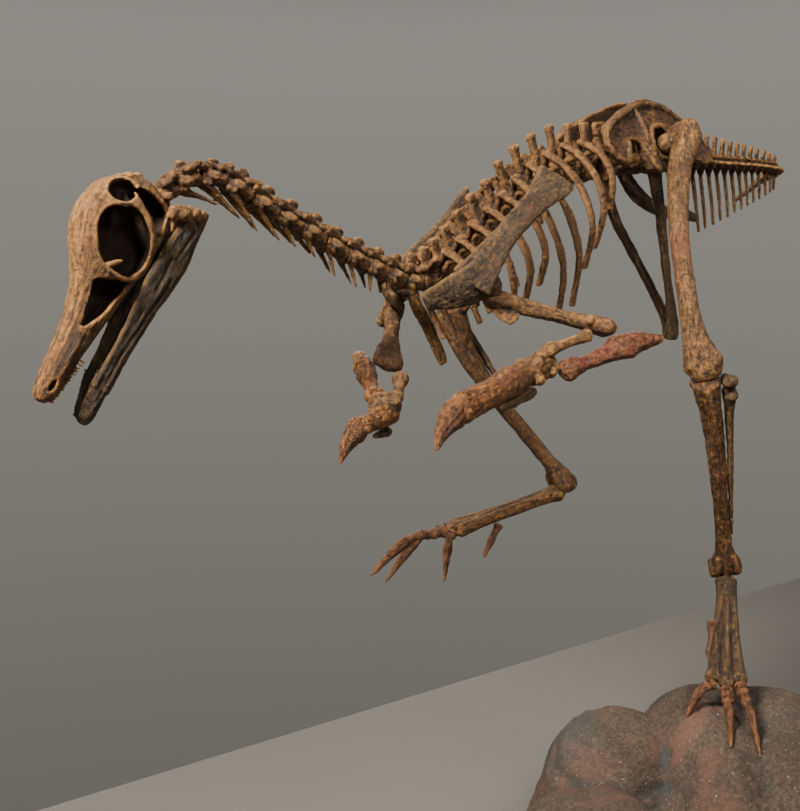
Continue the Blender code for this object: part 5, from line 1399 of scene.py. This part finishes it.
def tibia(side):
    """Shin bone: deep head with a front crest, straight shaft, pulley at the ankle."""
    axes = hinge, fore, along = leg_axes(side, KNEE[side], ANKLE[side])
    at = limb(KNEE[side], ANKLE[side], Vector(SHIN_BOW[side]), hinge, fore)
    shells = [loft(at, [(f, bow, f - 1.0, w, d) for f, bow, w, d in TIBIA_SIZES], wide=hinge,
                   sides=22, steps=6),
              loft(at, [(0.06, 0, -1.0, 6.0, 2.8, 4.2), (0.15, 0.5, 0, 5.4, 2.0, 3.4),
                        (0.28, 1.0, 0, 2.8, 1.5, 2.6)], wide=hinge, steps=5)]
    for way in (-1, 1):
        disc = 6.6 if way == side else 5.6
        shells += lumps(at, [(0.065, 0, way * 4.6 - 1.0, -5.0, (3.8, 3.8, 3.0)),
                             (0.965, 0, way * disc, 0.6, (3.2, 6.4, 6.0))], axes=axes, sides=16)
        shells.append(loft(at, [(0.90, 0, way * 4.6, 4.4, 1.4, 1.6),
                                (0.95, 0, way * 5.4, 5.2, 2.0, 2.2),
                                (0.985, 0, way * 5.2, 3.8, 1.6, 1.8)], wide=hinge))
    rim = placed(at(0.965, 0, side * 8.6, 0.6), fore, along)
    return shells + [
        hoop([rim(4.7 * c, 4.7 * s) for c, s in turns(24)], 1.15),
        loft(at, [(0.80, 0, 0, 2.4, 2.2, 2.0), (0.94, 0, 0, 3.2, 5.4, 2.8)], wide=hinge)]


# Splint beside the shin: its distance along the hinge and forward, and how far down it
# reaches. Its lumps: fraction down the shin, share of that distance, lift forward, radii.
FIBULA_PLACE = {LEFT: (10.4, 0.0, 0.80), RIGHT: (8.0, -10.5, 0.58)}
FIBULA_LUMPS = [(0.052, 1.04, 2.2, (4.2, 4.4, 3.6)), (0.052, 0.86, -1.4, (3.4, 4.2, 3.2)),
                (0.118, 1.02, 1.4, (4.0, 4.4, 3.6)), (0.105, 0.84, -1.0, (2.8, 3.6, 3.0))]


def fibula(side):
    """Splint beside the shin, two lumps above and a thin strip ending in a point."""
    axes = hinge, fore, _ = leg_axes(side, KNEE[side], ANKLE[side])
    across, front, reach = FIBULA_PLACE[side]
    limb_at = limb(KNEE[side], ANKLE[side], Vector(SHIN_BOW[side]), hinge * across + fore * front,
                   fore)

    def at(f, near, lift=0.0):
        """Point at fraction f down the shin, a share near of the way out, lifted forward."""
        return limb_at(f, 1.0 - f, near, lift)

    rows = [(0.05, 1.0, 4.1, 4.9), (0.085, 0.98, 2.9, 3.8), (0.125, 0.95, 3.8, 4.6),
            (0.18, 0.90, 2.6, 3.0), (0.28, 0.82, 1.9, 2.3), (0.55 * reach + 0.1, 0.64, 1.4, 1.6),
            (0.85 * reach, 0.54, 1.1, 1.2), (reach, 0.48, 0.7, 0.8)]
    return [loft(at, rows, wide=hinge, steps=6), *lumps(at, FIBULA_LUMPS, axes=axes)]


def toe_roots(side):
    """Ends of the three long foot bones, inner to outer, and the foot's directions."""
    ankle, foot = mm(*ANKLE[side]), mm(*FOOT[side])
    along = (foot - ankle).normalized()
    across = squared(Vector((0.64, -0.74, 0.0) if side == LEFT else (0.35, 0.62, 0.0)), along)
    fore = across.cross(along).normalized() * -side
    inner = foot - across * (TOE_SPREAD * MM) - along * (3.0 * MM)
    outer = foot + across * (TOE_SPREAD * MM) - along * (4.0 * MM)
    return along, across, fore, [inner, foot, outer]


def foot_bones(side):
    """Three long foot bones, pressed together above and spreading at the toes."""
    along, across, fore, roots = toe_roots(side)
    top = placed(mm(*ANKLE[side]), along, across)
    shells = [loft(top, [(6.6, 6.4, 5.5), (11.0, 5.6, 4.9), (17.0, 4.8, 4.2)], wide=across,
                   sides=20)]
    for way, root in zip((-1, 0, 1), roots):
        start = top(7.0, way * 2.8)
        middle = start.lerp(root, 0.5) - across * (way * 0.8 * MM)
        low = start.lerp(root, 0.82) - across * (way * 0.3 * MM)
        slim, back = (2.8, 0.0) if way else (2.0, 1.0)
        shells.append(sweep([(start, 3.0, 4.0), (start.lerp(middle, 0.5), 2.4, 3.4),
                             (middle - fore * (back * MM), slim, 3.1), (low, 2.9, 3.2),
                             (root - along * MM, 3.7, 3.9), (root + along * (2.2 * MM), 3.3, 3.5)],
                            wide=across, sides=16, steps=5))
        shells += lumps(placed(root, across, along), [(-2.1, 0.8, (2.2, 3.6, 3.0)),
                                                      (2.1, 0.8, (2.2, 3.6, 3.0))],
                        axes=(across, fore, along))
    return shells


# One toe bone as (place along it, share of its near or far size); the claw as (place, half
# width, half depth) in shares of its size. The claw's size is a share of the toe's, and a
# toe gets thinner by TOE_TAPER from root to claw.
TOE_NEAR = [(0.03, 1.0), (0.16, 0.98), (0.5, 0.62)]
TOE_FAR = [(0.82, 0.86), (0.97, 0.84)]
TOE_CLAW = [(0.02, 0.85, 1.05), (0.18, 0.82, 1.1), (0.5, 0.52, 0.74), (0.8, 0.30, 0.42),
            (1.0, 0.12, 0.14)]
TOE_CLAW_SIZE, TOE_TAPER = 0.72, 0.30


def toe(path, size, joints):
    """Toe as a string of small waisted bones, ending in a curved pointed claw."""
    last = len(path) - 1
    claw = last - 1 if last > 1 else 0.45
    flat = (path[-1] - path[0]).cross(UP).normalized()
    shells = []
    for k in range(joints):
        near, far = (size * (1.0 - TOE_TAPER * n / joints) for n in (k, k + 1))
        t0, t1 = claw * k / joints, claw * (k + 1) / joints
        rows = [(f, near * s) for f, s in TOE_NEAR] + [(f, far * s) for f, s in TOE_FAR]
        shells.append(sweep([(smooth(path, t0 + (t1 - t0) * f), s, s * 0.95) for f, s in rows],
                            wide=flat, cap=0.35))
        joint = placed(smooth(path, t0 + (t1 - t0) * 0.90), flat)
        shells += lumps(joint, [(way * far * 0.42, (far * 0.52, far * 0.56, far * 0.72))
                                for way in (-1, 1)])
    tip = size * TOE_CLAW_SIZE
    return shells + [sweep([(smooth(path, claw + (last - claw) * f), tip * w, tip * d)
                            for f, w, d in TOE_CLAW], wide=flat, steps=5, cap=0.3)]


# Right claws' tips, how high each foot's toes arch, how far the standing claws stay above the
# stone, and the paths of the small first toes.
LIFTED_CLAWS = [(-118.5, 44.5, 213.5), (-153.0, 69.5, 218.0), (-136.0, 76.0, 210.0)]
TOE_ARCH = {LEFT: 5.0, RIGHT: 8.0}
CLAW_LIFT = 0.7
FIRST_TOE = {LEFT: [(-0.8, -59.0, 188.5), (-4.2, -60.2, 181.0), (-8.0, -61.6, 174.5),
                    (-11.6, -63.0, 168.0)],
             RIGHT: [(-84.0, 34.0, 243.0), (-90.0, 33.5, 236.0), (-97.0, 33.5, 226.0)]}


def toes(side, ground):
    """Inner, middle and outer toe and the small first toe of one foot; the standing foot's
    claws reach down to the stone."""
    along, _, _, roots = toe_roots(side)
    ends = [mm(*tip) for tip in LIFTED_CLAWS]
    if side == LEFT:
        ends = [ground.ray_cast(mm(x, y, 300.0), -UP)[0] + UP * (CLAW_LIFT * MM)
                for x, y in STANDING_CLAWS]
    made = []
    for name, root, end, size, joints in zip(("toe_inner", "toe_middle", "toe_outer"), roots, ends,
                                             (3.6, 3.9, 3.6), (2, 3, 3)):
        start = root + along * (5.4 * MM)
        arch = start.lerp(end, 0.5) + UP * (TOE_ARCH[side] * MM)
        made.append((name, toe([start, arch, end], size, joints)))
    return made + [("toe_first", toe([mm(*p) for p in FIRST_TOE[side]], 2.9, 1))]


# ------------------------------------------------------------------ boulder

def rock_point(u, v, z):
    """Point of the boulder's own frame."""
    c, s = math.cos(ROCK_TURN), math.sin(ROCK_TURN)
    return ROCK_CENTRE + mm(u * c - v * s, u * s + v * c, z)


def rock_swell(point):
    """Broad swells and hollows of the stone's surface, outward from its middle."""
    away = (point - rock_point(*ROCK_HEART)).normalized()
    return away * (noise.noise(point / ROCK_SWELL_SIZE + Vector((3.1, 7.7, 1.9))) * ROCK_SWELL)


def lobe(cu, cv, ru, rv, height):
    """One rounded lobe of the boulder, from its flat underside up."""
    rings = []
    for k in range(ROCK_ROWS + 1):
        z = height * (1.0 - (1.0 - k / ROCK_ROWS) ** 1.7)
        share = max(1.0 - (z / height) ** ROCK_POWER, 0.0) ** (1.0 / ROCK_POWER)
        share = max(share, 0.03)
        ring = [rock_point(cu + ru * share * c, cv + rv * share * s, z)
                for c, s in turns(ROCK_SIDES)]
        rings.append([point + rock_swell(point) for point in ring] if k else ring)
    return skin(rings)


def rock_marks(co, normal):
    """Creases and small cracks of the stone; none on the flat underside."""
    face_up = np.clip((normal[:, 2] + 0.9) * 4.0, 0.0, 1.0)
    low = np.clip(co[:, 2] / 0.006, 0.0, 1.0)
    near_top = np.clip((co[:, 2] - 0.105) / 0.03, 0.0, 1.0)
    bent = co + np.stack([value_noise(co, 0.016, 31 + k) for k in range(3)], 1) * 0.006
    ridge = 1.0 - np.abs(value_noise(bent, 0.040, 21))
    ledge = 1.0 - np.abs(value_noise(bent * np.array([1.0, 1.0, 0.5]), 0.013, 25))
    crease, steps = (np.clip(height - 0.90, 0.0, 1.0) / 0.10 for height in (ridge, ledge))
    return face_up * low * (-1.3 * crease - 0.7 * steps * near_top - 0.5)


# ------------------------------------------------------------------ the whole

# Pieces that come in pairs: piece, node, maker, slot, and paints on the left and right where
# they aren't the slot's own.
# Darker paints on one side, such as bone_shade on the far arm, are painted shade.
PAIRS = [
    ("trunk_bones", "trunk", half_trunk, "bone", "bone_shade", "bone_shade"),
    ("hip_blade", "ilium", ilium, "bone", "bone_shade", "bone_shade"),
    ("pubis_bone", "pubis", pubis, "bone_dark"),
    ("ischium_bone", "ischium", ischium, "bone_dark"),
    ("shoulder_blade", "scapula", scapula, "bone", "bone_olive", "bone_olive"),
    ("upper_arm", "humerus", humerus, "bone", "bone", "bone_shade"),
    ("ulna_bone", "ulna", ulna, "bone_red", "ulna_red", "bone_red"),
    ("radius_bone", "radius", radius, "bone", "bone", "bone_shade"),
    ("wrist_bones", "wrist", wrist, "bone", "bone", "bone_shade"),
    ("finger_bone", "finger", finger, "bone_red"),
    ("splint_bone", "finger_splint", splint, "bone_dark"),
    ("hand_claw_bone", "hand_claw", hand_claw, "claw"),
    ("thigh_bone", "femur", femur, "bone"),
    ("shin_bone", "tibia", tibia, "bone", "bone_shade", "bone_shade"),
    ("fibula_bone", "fibula", fibula, "bone_dark"),
    ("metatarsals", "foot_bones", foot_bones, "bone", "bone_foot", "bone"),
]
# Nodes of these pairs that aren't fused on the medium grid, or have other lumps.
PAIR_GRIDS = {"finger_splint": FINE, "hand_claw": FINE, "femur": COARSE, "tibia": COARSE}
PAIR_ROUGHS = {"ulna": ULNA_ROUGH, "hand_claw": FINE_ROUGH}


def cast_column(node, maker, first, end, *detail):
    """Cast one span of the column."""
    shells = [shell for i in range(first, end) for shell in maker(i)]
    cast(node + "_bones", node, shells, "bone", "bone_shade", *detail)


def make_all():
    """Every piece, in its node's place."""
    for node, first, end in NECK_SPANS:
        cast_column(node, neck_vertebra, first, end, FINE, FINE_ROUGH)
    cast_column("sacrum", sacral_vertebra, BACK_END, SACRUM_END)
    first = SACRUM_END
    for node, number in TAIL_SPANS:
        cast_column(node, tail_vertebra, first, first + number, FINE, FINE_ROUGH)
        first += number
    # The skull wears a lighter copy of bone, painted light, and its painted shade darkens its sides
    # and openings.
    cast("skull_bone", "skull", skull(), "bone", "bone_skull_lit", FINE, SKULL_ROUGH, 1, skull_marks,
         skull_shade)
    cast("jaw_bone", "mandible", mandible(), "bone_dark", "bone_dark", FINE, JAW_ROUGH, 1,
         jaw_marks)
    cast("breast_bone", "sternum", sternum(), "bone", "bone")
    rock = cast("boulder", "stand_rock", [lobe(*values) for values in ROCK_LOBES], "stone", "stone",
                STONE_GRID, ROCK_ROUGH, 10, rock_marks)
    # The boulder is held inside its node's box, so that it stands flat.
    low, high = (np.array(corner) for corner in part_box("stand_rock"))
    set_coordinates(rock.data, np.clip(triples(rock.data.vertices, "co"), low, high))
    ground = BVHTree.FromObject(rock, bpy.context.evaluated_depsgraph_get())
    for side, word in SIDES:
        for piece, node, maker, slot, *paints in PAIRS:
            paint = paints[side == RIGHT] if paints else slot
            cast(piece + "_" + word, node + "_" + word, maker(side), slot, paint,
                 PAIR_GRIDS.get(node, MEDIUM), PAIR_ROUGHS.get(node, BONE_ROUGH))
        for node, shells in toes(side, ground):
            cast(node + "_bones_" + word, node + "_" + word, shells, "claw", "toe", FINE, TOE_ROUGH)


make_all()

# ------------------------------------------------------------------ stage, light and camera

CAMERA_PLACE = Vector((-0.5498, -0.3807, 0.3682))
CAMERA_AZIMUTH = math.radians(317.0)
CAMERA_ELEVATION = math.radians(5.0)
CAMERA_FOCUS = 1070.0
FRAME_WIDTH, FRAME_HEIGHT = 800.0, 811.0
SENSOR_HEIGHT = 36.0
# Places of the frame through which the floor's far edge runs, and how far the floor reaches
# to the left, and to the right and front, in metres.
FLOOR_EDGE = ((30.0, 813.0), (760.0, 590.0))
FLOOR_LEFT, FLOOR_REACH = 2.0, 4.0

TO_CAMERA = Vector((math.sin(CAMERA_AZIMUTH) * math.cos(CAMERA_ELEVATION),
                    -math.cos(CAMERA_AZIMUTH) * math.cos(CAMERA_ELEVATION),
                    math.sin(CAMERA_ELEVATION)))
ACROSS = Vector((math.cos(CAMERA_AZIMUTH), math.sin(CAMERA_AZIMUTH), 0.0))
OVER = TO_CAMERA.cross(ACROSS)

# Lights: name, place, target, size, power, colour, spread.
MIDDLE = (-0.05, 0.0, 0.36)
LIGHTS = [
    ("key", (-1.2, -0.15, 1.3), MIDDLE, 0.30, 64.0, (1.0, 0.94, 0.85), math.pi),
    ("hip", (-0.35, -0.95, 1.15), (0.0, -0.06, 0.40), 0.30, 1.0, (1.0, 0.95, 0.87), 0.7),
    ("rear", (0.9, 1.3, 1.1), MIDDLE, 1.2, 9.0, (0.95, 0.97, 1.0), math.pi),
    ("fill", (0.8, -1.3, 0.6), MIDDLE, 1.0, 1.0, (0.92, 0.96, 1.0), math.pi),
]


def on_floor(px, py):
    """Point of the floor seen at a place of the frame."""
    ray = (ACROSS * ((px - FRAME_WIDTH / 2) / CAMERA_FOCUS)
           + OVER * ((FRAME_HEIGHT / 2 - py) / CAMERA_FOCUS) - TO_CAMERA)
    return CAMERA_PLACE + ray * (-CAMERA_PLACE.z / ray.z)


def make_floor():
    """Pale floor whose far edge runs behind the boulder."""
    left, right = (on_floor(*place) for place in FLOOR_EDGE)
    way = (right - left).normalized()
    near = Vector((way.y, -way.x, 0.0)) * FLOOR_REACH
    far_left, far_right = left - way * FLOOR_LEFT, left + way * FLOOR_REACH
    corners = [far_left, far_right, far_right + near, far_left + near]
    mesh = bpy.data.meshes.new("floor")
    mesh.from_pydata([tuple(c) for c in corners], [], [(0, 1, 2, 3)])
    mat = bpy.data.materials.new("floor")
    mat.use_nodes = True
    inputs = mat.node_tree.nodes["Principled BSDF"].inputs
    inputs["Base Color"].default_value = (0.140, 0.130, 0.112, 1.0)
    inputs["Roughness"].default_value = 0.8
    mesh.materials.append(mat)
    shown("floor", mesh)


def make_camera():
    """The photograph's camera."""
    data = bpy.data.cameras.new("camera")
    data.sensor_fit = "VERTICAL"
    data.sensor_height = SENSOR_HEIGHT
    data.lens = SENSOR_HEIGHT * CAMERA_FOCUS / FRAME_HEIGHT
    data.clip_start = 0.01
    data.clip_end = 20.0
    camera = shown("camera", data)
    turn = Matrix((ACROSS, OVER, TO_CAMERA)).transposed().to_4x4()
    camera.matrix_world = Matrix.Translation(CAMERA_PLACE) @ turn
    bpy.context.scene.camera = camera


def make_light(name, place, target, size, power, colour, spread):
    """Square lamp at a place, turned to its target."""
    data = bpy.data.lights.new(name, "AREA")
    data.size = size
    data.energy = power
    data.color = colour
    data.spread = spread
    light = shown(name, data)
    light.location = place
    light.rotation_euler = (Vector(target) - Vector(place)).to_track_quat("-Z", "Y").to_euler()


def make_world():
    """Grey room: a pale wall behind the skeleton, darker behind the camera, above and below."""
    world = bpy.data.worlds.new("room")
    world.use_nodes = True
    tree = world.node_tree
    ray = add(tree, "TexCoord", {}).outputs["Generated"]
    height = add(tree, "SeparateXYZ", {0: ray}).outputs["Z"]
    wall = ramp(tree, [(0.0, (0.03, 0.03, 0.028)), (0.32, (0.158, 0.150, 0.130)),
                       (0.62, (0.285, 0.274, 0.240)), (0.80, (0.05, 0.05, 0.046))],
                ranged(tree, height, -1.0, 1.0))
    facing = add(tree, "VectorMath", {0: ray, 1: -TO_CAMERA}, operation="DOT_PRODUCT")
    wall = mixed(tree, wall, (0.42, 0.42, 0.42), ranged(tree, facing.outputs["Value"], 0.75, -0.2),
                 "MULTIPLY")
    background = tree.nodes["Background"].inputs
    feed(tree, background["Color"], wall)
    feed(tree, background["Strength"], 1.0)
    bpy.context.scene.world = world


make_floor()
make_camera()
for light in LIGHTS:
    make_light(*light)
make_world()
